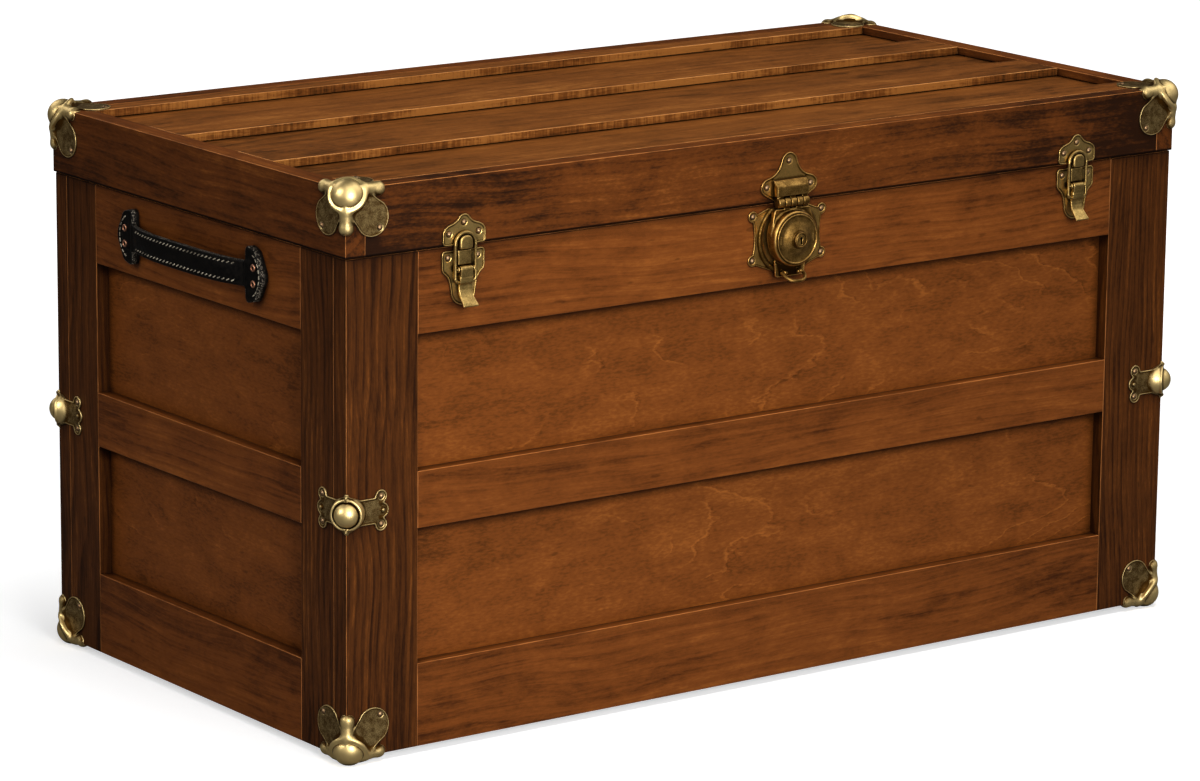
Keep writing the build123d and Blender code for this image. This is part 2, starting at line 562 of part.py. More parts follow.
def stepped_stud(side, point, wall_x, shoulder_x, neck_x, head_x, neck_r):
    stud = rod((side * wall_x, *point), (side * shoulder_x, *point), 6.0)
    stud += rod((side * wall_x, *point), (side * neck_x, *point), neck_r)
    return stud + rod((side * neck_x, *point), (side * head_x, *point), 5.0)


studs, pivots = [], []
for name, side in (("left", -1), ("right", 1)):
    save(f"lid_stay_{name}", lid_stay(side))
    studs.append(stepped_stud(side, STAY_STUD_POINT, INSIDE_X, 433.5, 430.5, 429.0, STUD_R))
    pivots.append(stepped_stud(side, STAY_LID_POINT, LID_INNER_X, 433.5, 430.5, 429.0, STAY_PIN_R))
save("stay_studs", *studs)
save("stay_pivots", *pivots)

# ------------------------------------------------------------------ leather handles
HANDLE_Z, HANDLE_HALF, HANDLE_BOW = 394.0, 116.5, 16.5
STRAP_T, STRAP_H = 5.0, 19.0
CAP_INNER = 91.5
CAP_T = 7.5
STRAP_END = HANDLE_HALF - 8.0 + STRAP_T / 2
RIVET_U, RIVET_RISE, RIVET_R = 104.0, 7.0, 3.2


def strap_outline():
    """Strap seen from above as (along, proud): flat feet and a raised-cosine bow."""
    steps = 16
    foot = STRAP_END - STRAP_T / 2
    points = [(-foot, STRAP_T / 2)]
    for i in range(steps + 1):
        u = -CAP_INNER + 2 * CAP_INNER * i / steps
        lift = HANDLE_BOW * math.cos(math.pi * u / (2 * CAP_INNER)) ** 2
        points.append((u, STRAP_T / 2 + lift))
    points.append((foot, STRAP_T / 2))
    return ribbon(points, STRAP_T / 2)


def handle(side):
    """Strap, two end caps and four rivets on one end wall."""
    wall_x = side * BODY_LENGTH / 2
    from_above = Plane(origin=(wall_x, 0, HANDLE_Z - STRAP_H / 2), x_dir=(0, -side, 0),
                       z_dir=(0, 0, 1))
    strap = extrude(from_above * strap_outline(), amount=STRAP_H)
    outward = Plane(origin=(wall_x, 0, HANDLE_Z), x_dir=(0, side, 0), z_dir=(side, 0, 0))
    rivet_seat = Plane(origin=outward.origin + outward.z_dir * CAP_T, x_dir=outward.x_dir,
                       z_dir=outward.z_dir)
    slot_start = CAP_INNER - 10
    caps, rivets = [], []
    for end in (-1, 1):
        slot = Pos(end * (STRAP_END + slot_start) / 2, 0, STRAP_T / 2) * Box(
            STRAP_END - slot_start, STRAP_H, STRAP_T)
        outline = hull((end * 96, 20, 4.5), (end * 96, -20, 4.5), (end * 104, 0, 12.5),
                       (end * 101, 15, 8), (end * 101, -15, 8))
        cap = extrude(outward * outline, amount=CAP_T)
        caps.append(cap - outward * slot)
        for rise in (-RIVET_RISE, RIVET_RISE):
            spot = Pos(end * RIVET_U, rise) * Circle(RIVET_R)
            rivets.append(extrude(rivet_seat * spot, amount=1.2))
    return strap, caps, rivets


handle_caps, handle_rivets = [], []
for name, side in (("left", -1), ("right", 1)):
    strap, caps, rivets = handle(side)
    save(f"{name}_handle_strap", strap)
    handle_caps += caps
    handle_rivets += rivets
save("handle_caps", *handle_caps)
save("handle_rivets", *handle_rivets)

save("chest_nails", *chest_nails)
save("lid_nails", *lid_nails)

# ------------------------------------------------------------------ places for the joints
for label, point in (("hinge", (0, HINGE_Y, HINGE_Z)),
                     ("stay pivot", (STAY_PLANE[0], *STAY_LID_POINT)),
                     ("lever pivot", (LATCH_X, FRONT - PIVOT[0], PIVOT[1])),
                     ("loop pivot", (LATCH_X, FRONT - LOOP_PIVOT[0], LOOP_PIVOT[1])),
                     ("hasp pivot", (LOCK_X, FRONT - KNUCKLE[0], KNUCKLE[1])),
                     ("plug axis", (LOCK_X, FRONT - NOSE, CUP_Z)),
                     ("bail pivot", (LOCK_X, FRONT - BAIL_PIVOT[0], BAIL_PIVOT[1]))):
    print(label,
          [round(point[0], 3), round(point[1] + CENTRE_Y, 3), round(point[2] + FLOOR_LIFT, 3)])
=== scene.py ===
"""Looks of the wooden chest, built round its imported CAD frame.

Metres, +Z up, the front faces -Y. Wood boards keep their CAD meshes and get grained wood
materials; the brass and leather fittings are modelled here and stand for their CAD nodes.
"""
import json
import math

import bmesh
import bpy
import numpy as np
from mathutils import Matrix, Vector


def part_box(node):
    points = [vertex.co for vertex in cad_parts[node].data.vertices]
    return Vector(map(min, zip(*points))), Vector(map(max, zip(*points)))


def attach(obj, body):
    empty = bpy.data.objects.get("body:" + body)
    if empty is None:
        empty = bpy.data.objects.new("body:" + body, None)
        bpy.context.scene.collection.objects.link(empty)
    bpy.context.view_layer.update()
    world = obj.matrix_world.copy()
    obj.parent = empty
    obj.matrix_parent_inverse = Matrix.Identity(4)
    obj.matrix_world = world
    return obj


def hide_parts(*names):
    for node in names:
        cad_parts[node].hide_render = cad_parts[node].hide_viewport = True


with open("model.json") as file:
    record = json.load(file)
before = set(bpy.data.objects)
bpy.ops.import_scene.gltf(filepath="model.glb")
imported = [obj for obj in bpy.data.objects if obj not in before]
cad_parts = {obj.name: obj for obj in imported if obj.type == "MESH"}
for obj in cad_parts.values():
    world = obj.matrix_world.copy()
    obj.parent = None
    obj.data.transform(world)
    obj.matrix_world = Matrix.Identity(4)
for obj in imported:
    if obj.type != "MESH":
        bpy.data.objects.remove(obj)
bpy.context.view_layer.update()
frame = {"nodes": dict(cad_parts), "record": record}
scene = bpy.context.scene
scene.view_settings.view_transform = "Standard"
MM = 0.001


# ---- node helpers
def feed(tree, node, inputs):
    """Set a node's inputs; a socket given as a value is linked."""
    for key, value in inputs.items():
        if isinstance(value, bpy.types.NodeSocket):
            tree.links.new(value, node.inputs[key])
        else:
            node.inputs[key].default_value = value


def add(tree, kind, inputs=None, **settings):
    """Add one shader node."""
    node = tree.nodes.new("ShaderNode" + kind)
    for name, value in settings.items():
        setattr(node, name, value)
    feed(tree, node, inputs or {})
    return node


def calc(tree, operation, a, b=0.0):
    return add(tree, "Math", {0: a, 1: b}, operation=operation).outputs[0]


def plus(tree, total, *terms):
    for term in terms:
        total = calc(tree, "ADD", total, term)
    return total


def times(tree, product, *factors):
    for factor in factors:
        product = calc(tree, "MULTIPLY", product, factor)
    return product


def vector(tree, operation, a, b=(0, 0, 0)):
    return add(tree, "VectorMath", {0: a, 1: b}, operation=operation).outputs[0]


def length(tree, value):
    return add(tree, "VectorMath", {0: value}, operation="LENGTH").outputs["Value"]


def parts(tree, value):
    """The three components of a vector."""
    return add(tree, "SeparateXYZ", {0: value}).outputs


def own(tree, kind):
    """One of the texture coordinates, such as "Object" or "Normal", which ride on a piece."""
    return add(tree, "TexCoord").outputs[kind]


def span(tree, value, low, high, to_low=0.0, to_high=1.0):
    """Rescale a value from low..high to to_low..to_high, held at both ends."""
    ends = {"Value": value, "From Min": low, "From Max": high, "To Min": to_low, "To Max": to_high}
    return add(tree, "MapRange", ends, interpolation_type="SMOOTHSTEP").outputs[0]


def mix(tree, factor, a, b):
    return add(tree, "Mix", {0: factor, 6: a, 7: b}, data_type="RGBA").outputs[2]


def noise(tree, at, scale, detail=2.0, roughness=0.5, distortion=0.0):
    return add(tree, "TexNoise", {"Vector": at, "Scale": scale, "Detail": detail,
                                  "Roughness": roughness, "Distortion": distortion}).outputs[0]


def grain_noise(tree, at, along, across, detail, roughness, distortion=0.0):
    """Noise with one scale along the grain and another across it."""
    scaled = vector(tree, "MULTIPLY", at, (along, across, across))
    return noise(tree, scaled, 1.0, detail, roughness, distortion)


def rgb(*channels):
    """Linear colour of an 8-bit display colour."""
    shares = (channel / 255 for channel in channels)
    linear = (s / 12.92 if s <= 0.04045 else ((s + 0.055) / 1.055) ** 2.4 for s in shares)
    return (*linear, 1.0)


def new_material(name):
    material = bpy.data.materials.new(name)
    material.use_nodes = True
    tree = material.node_tree
    return material, tree, tree.nodes["Principled BSDF"]


def bump(tree, height, strength, distance):
    relief = {"Height": height, "Strength": strength, "Distance": distance}
    return add(tree, "Bump", relief).outputs[0]


# ---- camera, floor and light
CAMERA_AT = Vector((-2.7762, -3.7344, 1.3003))
CAMERA_AZIMUTH, CAMERA_ELEVATION, CAMERA_ROLL = -36.3625, 13.0403, 0.5788
LENS = 156.37
FLOOR_GLOW = 0.55  # near the chest; the floor fades to white further out
ROOM_LIGHT = 0.11
ROOM_SHEEN = 0.36, 0.03  # in front and behind, as reflections see it


def towards(azimuth, elevation):
    """Direction from the chest to a viewpoint; azimuth 0 is in front of it."""
    azimuth, elevation = math.radians(azimuth), math.radians(elevation)
    return Vector((math.sin(azimuth) * math.cos(elevation),
                   -math.cos(azimuth) * math.cos(elevation), math.sin(elevation)))


def make_camera():
    roll = math.radians(CAMERA_ROLL)
    forward = -towards(CAMERA_AZIMUTH, CAMERA_ELEVATION)
    right = forward.cross(Vector((0, 0, 1))).normalized()
    up = right.cross(forward)
    rolled_right = right * math.cos(roll) + up * math.sin(roll)
    rolled_up = up * math.cos(roll) - right * math.sin(roll)
    turn = Matrix((rolled_right, rolled_up, -forward)).transposed().to_4x4()
    data = bpy.data.cameras.new("camera")
    data.lens, data.sensor_width, data.clip_end = LENS, 36.0, 100
    camera = bpy.data.objects.new("camera", data)
    camera.matrix_world = Matrix.Translation(CAMERA_AT) @ turn
    scene.collection.objects.link(camera)
    scene.camera = camera


def make_floor():
    mesh = bpy.data.meshes.new("floor")
    half = 12.0
    corners = ((-half, -half, 0), (half, -half, 0), (half, half, 0), (-half, half, 0))
    mesh.from_pydata(corners, [], [(0, 1, 2, 3)])
    floor = bpy.data.objects.new("floor", mesh)
    scene.collection.objects.link(floor)
    material, tree, shader = new_material("floor")
    path = add(tree, "LightPath").outputs
    seen, mirrored = path["Is Camera Ray"], path["Is Glossy Ray"]
    away = length(tree, own(tree, "Object"))
    glow = times(tree, seen, span(tree, away, 0.8, 1.8, FLOOR_GLOW, 1.0))
    unseen = mix(tree, mirrored, (0.4, 0.4, 0.4, 1), (0.13, 0.13, 0.13, 1))
    feed(tree, shader, {"Base Color": mix(tree, seen, unseen, (0.8, 0.8, 0.8, 1)),
                        "Roughness": 1.0, "Specular IOR Level": 0.0,
                        "Emission Color": (1, 1, 1, 1), "Emission Strength": glow})
    mesh.materials.append(material)


def soft_box(name, azimuth, elevation, distance, size, power, aim=(0, 0, 0.25)):
    """Square light aimed at a point. Distance and size are in metres, power in watts."""
    data = bpy.data.lights.new(name, "AREA")
    data.shape, data.size, data.energy = "SQUARE", size, power
    away = towards(azimuth, elevation)
    light = bpy.data.objects.new(name, data)
    light.location = Vector(aim) + away * distance
    light.rotation_mode = "QUATERNION"
    light.rotation_quaternion = away.to_track_quat("Z", "Y")
    scene.collection.objects.link(light)
    return light


def make_world():
    """White backdrop for the eye, a softer grey room for light and reflections."""
    world = bpy.data.worlds.new("studio")
    world.use_nodes = True
    scene.world = world
    tree = world.node_tree
    tree.nodes.clear()
    seen = add(tree, "Background", {"Color": (1, 1, 1, 1), "Strength": 1.0})
    path = add(tree, "LightPath").outputs
    ahead = parts(tree, own(tree, "Generated"))[1]
    level = span(tree, path["Is Glossy Ray"], 0.0, 1.0, ROOM_LIGHT,
                 span(tree, ahead, -0.5, 0.5, *ROOM_SHEEN))
    room = add(tree, "Background", {"Color": (1.0, 0.985, 0.96, 1), "Strength": level})
    both = add(tree, "MixShader", {0: path["Is Camera Ray"], 1: room.outputs[0],
                                   2: seen.outputs[0]})
    add(tree, "OutputWorld", {0: both.outputs[0]})


make_camera()
make_floor()
make_world()
soft_box("front_box", -18, 13, 2.1, 0.9, 28.5, (-0.16, 0, 0.27))
soft_box("left_box", -95, 28, 3.0, 0.9, 10)
soft_box("top_box", 10, 78, 3.0, 1.8, 73).visible_glossy = False
for sheen in (("front_sheen", -16, 50, 3.0, 2.4, 20), ("right_sheen", 66, 48, 3.2, 2.4, 19),
              ("back_sheen", -165, 36, 3.2, 1.8, 13), ("left_sheen", -92, 26, 3.0, 0.9, 16)):
    soft_box(*sheen).visible_diffuse = False  # these only show in reflections


# ---- wood
GRAIN_ORDER = {"X": (0, 1, 2), "Y": (1, 0, 2), "Z": (2, 0, 1)}
LID_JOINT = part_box("lid_front_board")[0].z  # a painted shade line runs round the chest here, where the lid meets the body


def grain_space(tree, grain, offset):
    """Object position with the grain along x, shifted so that every board differs."""
    axes = parts(tree, own(tree, "Object"))
    turned = add(tree, "CombineXYZ", dict(enumerate(axes[i] for i in GRAIN_ORDER[grain])))
    return vector(tree, "ADD", turned.outputs[0], offset)


def edge_mask(tree):
    """1 on the rounded edges of a board, 0 on its flat faces."""
    axes = parts(tree, vector(tree, "ABSOLUTE", own(tree, "Normal")))
    flat = calc(tree, "MAXIMUM", calc(tree, "MAXIMUM", axes[0], axes[1]), axes[2])
    return span(tree, flat, 0.93, 0.995, 1.0, 0.0)


def growth_rings(tree, bent, ring_width):
    """Late wood: rises slowly across each growth ring and ends sharply."""
    axes = parts(tree, bent)
    heart = add(tree, "CombineXYZ", {0: 0.0, 1: axes[1], 2: axes[2]}).outputs[0]
    wander = grain_noise(tree, bent, 6.0, 40.0, 3.0, 0.6)
    phase = plus(tree, calc(tree, "DIVIDE", length(tree, heart), ring_width),
                 times(tree, wander, 1.1))
    turn = calc(tree, "FRACT", phase)
    return times(tree, span(tree, turn, 0.3, 0.9), span(tree, turn, 0.93, 1.0, 1, 0))


def nested_arcs(tree, at, along, rise):
    """A plain-sawn figure's tone, and where it shows: thin arcs, each pale with a dark side,
    nested round the height where rise is 0."""
    arc = times(tree, rise, rise, 26.0)
    field = grain_noise(tree, at, 4.0, 9.0, 3.0, 0.5)
    jag = grain_noise(tree, at, 60.0, 150.0, 3.0, 0.6)
    level = plus(tree, times(tree, plus(tree, along, arc), 13.0), times(tree, field, 9.0),
                 times(tree, jag, 0.55))
    crest = calc(tree, "FRACT", level)
    pale = times(tree, span(tree, crest, 0.86, 0.94), span(tree, crest, 0.95, 0.98, 1, 0))
    dark = times(tree, span(tree, crest, 0.0, 0.05, 1, 0), span(tree, crest, 0.0, 0.02))
    slope_tone = span(tree, crest, 0.0, 0.9, -0.5, 0.3)
    line = plus(tree, calc(tree, "SUBTRACT", pale, dark), times(tree, slope_tone, 0.3))
    return line, span(tree, noise(tree, at, 11.0), 0.44, 0.62)


def saw_marks_and_light(tree, at, facing_back, strength):
    """Tone of the edges that face the front: ticked saw marks, and painted light that makes them
    paler.
    """
    saw = grain_noise(tree, at, 420.0, 12.0, 3.0, 0.65)
    patch = grain_noise(tree, at, 9.0, 4.0, 2.0, 0.5)
    mark = plus(tree, span(tree, saw, 0.3, 0.7, -0.5, 0.5),
                span(tree, patch, 0.38, 0.62, 0.0, 1.3))
    return times(tree, mark, span(tree, facing_back, -0.9, -0.6, strength, 0.0))


def wood_material(name, grain, offset, middle, half, tones, fade=0.3, streaks=0.3, rings=0.2,
                  ring_width=0.008, blotches=0.45, band_depth=0.16, grain_depth=0.2,
                  speckle=0.12, figure=0.0, figure_z=0.0, gloss=0.42, ticks=0.0, recess_shade=0.93):
    """Stained wood, for a board with that middle and half length along the grain. Tones are
    (dark, plain, light); the strengths run from 0 to about 1. Fade is how much the ends darken,
    partly as stain and partly as painted shade.
    The figure is nested pale arcs centred on the height figure_z. Ticks are saw marks on faces
    towards the front, with painted light that makes those faces paler; the recess shade is how
    dark the painted shade in the recesses gets."""
    dark, plain, light = tones
    material, tree, shader = new_material(name)
    at = grain_space(tree, grain, offset)
    facing = parts(tree, own(tree, "Normal"))

    drift = add(tree, "TexNoise", {"Vector": vector(tree, "MULTIPLY", at, (2.2, 5.0, 5.0)),
                                   "Scale": 1.0, "Detail": 2.5}).outputs["Color"]
    drift = vector(tree, "MULTIPLY", vector(tree, "SUBTRACT", drift, (0.5, 0.5, 0.5)),
                   (0.0, 0.055, 0.055))
    bent = vector(tree, "ADD", at, drift)
    late = growth_rings(tree, bent, ring_width)
    fibre = grain_noise(tree, bent, 14.0, 470.0, 4.0, 0.7)
    streak = grain_noise(tree, bent, 2.4, 110.0, 4.0, 0.62)
    band = grain_noise(tree, bent, 1.3, 11.0, 2.0, 0.5)
    cloud = grain_noise(tree, at, 17.0, 30.0, 5.0, 0.62, 0.7)
    grit = grain_noise(tree, at, 170.0, 520.0, 3.0, 0.7)

    # The ends darken: partly stain, partly painted shade.
    place = parts(tree, vector(tree, "SUBTRACT", at, offset))
    far = calc(tree, "ABSOLUTE", calc(tree, "SUBTRACT", place[0], middle))
    patches = grain_noise(tree, at, 9.0, 9.0, 4.0, 0.6)
    far = plus(tree, calc(tree, "DIVIDE", far, half), span(tree, patches, 0.3, 0.7, -0.12, 0.12))
    tone = plus(tree, span(tree, band, 0.25, 0.75, -band_depth, band_depth),
                span(tree, cloud, 0.28, 0.72, -0.5 * blotches, 0.5 * blotches),
                span(tree, streak, 0.28, 0.72, -0.7 * streaks, 0.7 * streaks),
                span(tree, fibre, 0.27, 0.73, -grain_depth, grain_depth),
                times(tree, late, -rings),
                span(tree, grit, 0.3, 0.7, -speckle, speckle),
                span(tree, far, 0.4, 1.05, 0.0, -fade))
    if figure:
        rise = calc(tree, "SUBTRACT", place[2], figure_z)
        line, shown = nested_arcs(tree, at, place[0], rise)
        tone = plus(tree, tone, times(tree, shown, figure, line))
    # Faces towards the front get saw marks and painted light that makes them paler.
    if ticks:
        tone = plus(tree, tone, saw_marks_and_light(tree, at, facing[1], ticks))
    colour = mix(tree, span(tree, tone, -0.95, 0.1), dark, plain)
    colour = mix(tree, span(tree, tone, -0.05, 0.9), colour, light)
    fleck = grain_noise(tree, at, 38.0, 120.0, 1.5, 0.5)
    colour = mix(tree, span(tree, fleck, 0.70, 0.77, 0.0, 0.5), colour, dark)

    # Painted shade: the wood darkens in recesses and under rails that overhang it; the normal is
    # tilted up so that overhangs above darken it most.
    raised = vector(tree, "ADD", add(tree, "NewGeometry").outputs["Normal"], (0, 0, 1.1))
    raised = vector(tree, "NORMALIZE", raised)
    recess = add(tree, "AmbientOcclusion", {"Distance": 0.014, "Normal": raised},
                 samples=6).outputs["AO"]
    shadow = (dark[0] * 0.2, dark[1] * 0.2, dark[2] * 0.2, 1)
    colour = mix(tree, span(tree, recess, 0.4, 0.88, recess_shade, 0.0), colour, shadow)
    # Pale edges: partly wear, partly painted light; edges facing down, which would be in shade, get
    # none.
    pale_edges = times(tree, edge_mask(tree), span(tree, cloud, 0.35, 0.6, 0.35, 1.0),
                 span(tree, facing[2], -0.4, -0.05))
    colour = mix(tree, pale_edges, colour, (light[0] * 1.5, light[1] * 1.75, light[2] * 2.6, 1))
    # Painted shade: a dark line on upright faces at the lid joint, where the gap lies in shade.
    upright = span(tree, calc(tree, "ABSOLUTE", facing[2]), 0.5, 0.8, 1.0, 0.0)
    height = parts(tree, own(tree, "Object"))[2]
    joint = calc(tree, "ABSOLUTE", calc(tree, "SUBTRACT", height, LID_JOINT))
    joint = times(tree, span(tree, joint, 0.0012, 0.0024, 0.95, 0.0), upright)
    colour = mix(tree, joint, colour, shadow)

    relief = plus(tree, times(tree, fibre, 0.6), times(tree, late, -0.35))
    feed(tree, shader, {"Base Color": colour, "Specular IOR Level": 0.07,
                        "Roughness": span(tree, fibre, 0.2, 0.8, gloss + 0.07, gloss - 0.05),
                        "Normal": bump(tree, relief, 0.25, 0.0004)})
    return material


STILE = (rgb(42, 20, 6), rgb(81, 43, 15), rgb(134, 77, 29))
RAIL = (rgb(64, 31, 10), rgb(119, 64, 24), rgb(156, 90, 36))
FIELD = (rgb(70, 37, 12), rgb(124, 67, 25), rgb(160, 93, 37))
LID = (rgb(40, 20, 8), rgb(101, 53, 19), rgb(148, 86, 34))
TOP = (rgb(58, 33, 13), rgb(122, 70, 28), rgb(172, 110, 50))
INSIDE = (rgb(90, 56, 32), rgb(146, 98, 58), rgb(176, 128, 82))


def wood_for(node, index):
    """Wood material for one CAD board or panel, chosen by its name."""
    shift = (0.37 * index + 0.11, 0.031 * (index % 5) + 0.06, 0.047 * (index % 7) - 0.12)
    side = node.startswith(("left_", "right_", "lid_left", "lid_right"))
    grain = "Z" if "stile" in node else "Y" if side else "X"
    box_low, box_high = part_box(node)
    low, high = box_low["XYZ".index(grain)], box_high["XYZ".index(grain)]
    look = {"tones": RAIL}
    if node == "front_middle_rail":
        look = {"tones": RAIL, "fade": 0.0}
    elif "stile" in node:
        look = {"tones": STILE, "fade": 0.12, "streaks": 0.36, "rings": 0.38, "blotches": 0.2,
                "ring_width": 0.0056, "band_depth": 0.22, "grain_depth": 0.34}
    elif node in ("bottom_board", "bottom_cleats"):
        look = {"tones": INSIDE, "fade": 0.0, "rings": 0.3, "gloss": 0.6}
    elif node.startswith("lid_") and "panel" in node:
        look = {"tones": TOP, "fade": 0.25, "streaks": 0.2, "speckle": 0.14}
    elif "panel" in node:
        look = {"tones": FIELD, "fade": 0.15, "streaks": 0.1, "rings": 0.06, "blotches": 0.55,
                "ring_width": 0.016, "band_depth": 0.1, "grain_depth": 0.08, "speckle": 0.24,
                "figure": 0.42, "figure_z": (box_low.z + box_high.z) / 2}
    elif node.startswith("lid_") and "rail" in node:
        look = {"tones": TOP, "fade": 0.2, "speckle": 0.2, "ticks": 0.8, "recess_shade": 0.15}
    elif node == "lid_front_board":
        look = {"tones": LID, "fade": 0.7, "streaks": 0.26, "blotches": 0.6,
                "grain_depth": 0.14, "speckle": 0.18}
    elif node.startswith("lid_"):
        look = {"tones": LID, "streaks": 0.26, "speckle": 0.14}
    return wood_material(node, grain, shift, (low + high) / 2, (high - low) / 2, **look)


def paint(node, material):
    mesh = frame["nodes"][node].data
    mesh.materials.clear()
    mesh.materials.append(material)


WOOD_WORDS = ("stile", "rail", "panel", "board", "cleat")
wooden = sorted(n for n in frame["nodes"] if any(word in n for word in WOOD_WORDS))
for index, node in enumerate(wooden):
    paint(node, wood_for(node, index))


# ---- solid fields
# A field is negative inside a shape and about the distance to it in millimetres outside.
def join(a, b, soft):
    """Union with a fillet of about 'soft'."""
    blend = np.clip(0.5 + 0.5 * (b - a) / soft, 0, 1)
    return b + (a - b) * blend - soft * blend * (1 - blend)


def meet(a, b, soft):
    return -join(-a, -b, soft)


def cut(body, tool, soft=0.4):
    return meet(body, -tool, soft)


def disc(u, v, centre, radius):
    return np.sqrt((u - centre[0]) ** 2 + (v - centre[1]) ** 2) - radius


def ball(x, y, z, centre, radius):
    return np.sqrt((x - centre[0]) ** 2 + (y - centre[1]) ** 2 + (z - centre[2]) ** 2) - radius


def ahead_of(x, y, z, start, along):
    """How far a point is from start along a direction, times the direction's length."""
    return sum((at - origin) * way for at, origin, way in zip((x, y, z), start, along))


def bar(x, y, z, start, end, start_r, end_r):
    """Round bar that may taper."""
    start, end = np.array(start, float), np.array(end, float)
    along = end - start
    share = np.clip(ahead_of(x, y, z, start, along) / (along @ along), 0, 1)
    centre = [start[i] + share * along[i] for i in range(3)]
    return ball(x, y, z, centre, start_r + (end_r - start_r) * share)


def hoop(x, y, z, centre, axis, major, minor):
    """Torus round an axis through its centre."""
    axis = np.array(axis, float) / np.linalg.norm(axis)
    height = ahead_of(x, y, z, centre, axis)
    squares = sum((at - origin) ** 2 for at, origin in zip((x, y, z), centre))
    flat = np.sqrt(np.maximum(squares - height ** 2, 0))
    return np.sqrt((flat - major) ** 2 + height ** 2) - minor


def pill(u, v, start, end, start_r, end_r):
    """Flat outline round two discs."""
    return bar(u, v, 0.0, (*start, 0), (*end, 0), start_r, end_r)


def outline(u, v, discs):
    """Outline round a closed chain of discs (u, v, radius): their convex hull."""
    points = []
    for cu, cv, radius in discs:
        for turn in np.linspace(0, 2 * math.pi, 24, endpoint=False):
            points.append((cu + radius * math.cos(turn), cv + radius * math.sin(turn)))
    points = sorted(points)
    rim = []
    for ordered in (points, points[::-1]):
        half = []
        for p in ordered:
            while len(half) > 1 and ((half[-1][0] - half[-2][0]) * (p[1] - half[-2][1])
                                     <= (half[-1][1] - half[-2][1]) * (p[0] - half[-2][0])):
                half.pop()
            half.append(p)
        rim += half[:-1]
    distance = -1e9
    for (au, av), (bu, bv) in zip(rim, rim[1:] + rim[:1]):
        edge = math.hypot(bu - au, bv - av)
        if edge > 1e-6:
            side = ((u - au) * (bv - av) - (v - av) * (bu - au)) / edge
            distance = np.maximum(distance, side)
    return distance


def slab(flat, w, low, high, soft):
    """Raise an outline from w = low to w = high, with its edges rounded."""
    return meet(flat, np.abs(w - (low + high) / 2) - (high - low) / 2, soft)


def pressed(flat, w, low, thick, rim, rim_width, soft=0.5):
    """Sheet pressing: an outline whose rim stands a little proud of its middle."""
    top = low + thick + rim * np.exp(-(flat / rim_width) ** 2)
    return meet(flat, np.maximum(w - top, low - w), soft)


SHEET, SUNK = 1.0, 0.5  # a plate's thickness, and its depth in the wood


def plate(flat, w, rim, rim_width, soft=0.5):
    """Pressed plate fixed on wood whose face is at w = 0."""
    return pressed(flat, w, -SUNK, SHEET + SUNK, rim, rim_width, soft)


# ---- fields to meshes
def net(field, low, high, step):
    """Vertices and quads on a field's zero surface inside a box."""
    axes = [np.arange(a - 2 * step, b + 2.5 * step, step) for a, b in zip(low, high)]
    x, y, z = np.meshgrid(*axes, indexing="ij", sparse=True)
    value = np.broadcast_to(field(x, y, z), [len(a) for a in axes])
    inside = value < 0
    corners = [(i, j, k) for i in (0, 1) for j in (0, 1) for k in (0, 1)]
    shape = [n - 1 for n in inside.shape]
    held = sum(inside[tuple(slice(m, m + n) for m, n in zip(move, shape))].astype(np.int8)
               for move in corners)
    cells = np.argwhere((held > 0) & (held < 8))
    total, count, one = np.zeros((len(cells), 3)), np.zeros(len(cells)), np.eye(3, dtype=int)
    for move in corners:
        for axis in range(3):
            if move[axis]:
                continue
            start = cells + move
            a, b = value[tuple(start.T)], value[tuple((start + one[axis]).T)]
            crossed = (a < 0) != (b < 0)
            share = np.where(crossed, a / np.where(crossed, a - b, 1), 0)
            total += (move + share[:, None] * one[axis]) * crossed[:, None]
            count += crossed
    verts = (cells + total / count[:, None]) * step + np.array([a[0] for a in axes])
    number = -np.ones(shape, int)
    number[tuple(cells.T)] = np.arange(len(cells))
    quads = []
    for axis in range(3):
        du, dv = one[(axis + 1) % 3], one[(axis + 2) % 3]
        a, b = (inside[tuple(slice(move, n + move) if i == axis else slice(1, n)
                             for i, n in enumerate(shape))] for move in (0, 1))
        for leaving in (True, False):
            at = np.argwhere((a != b) & (a == leaving)) + 1 - one[axis]
            ring = [number[tuple((at - step_back).T)] for step_back in (du + dv, dv, 0 * du, du)]
            quads.append(np.stack(ring if leaving else ring[::-1], 1))
    return settle(field, verts, step), np.concatenate(quads)


def slope(field, verts):
    """Unit gradient of a field at many points."""
    gradient = np.stack([field(*(verts + move).T) - field(*(verts - move).T)
                         for move in 0.05 * np.eye(3)], 1)
    return gradient / np.maximum(np.linalg.norm(gradient, axis=1, keepdims=True), 1e-9)


def settle(field, verts, step):
    """Draw points onto the field's zero surface."""
    for _ in range(2):
        off = np.clip(field(*verts.T), -0.3 * step, 0.3 * step)
        verts = verts - slope(field, verts) * off[:, None]
    return verts


PROUD = 7.0  # from this height on, wear is full


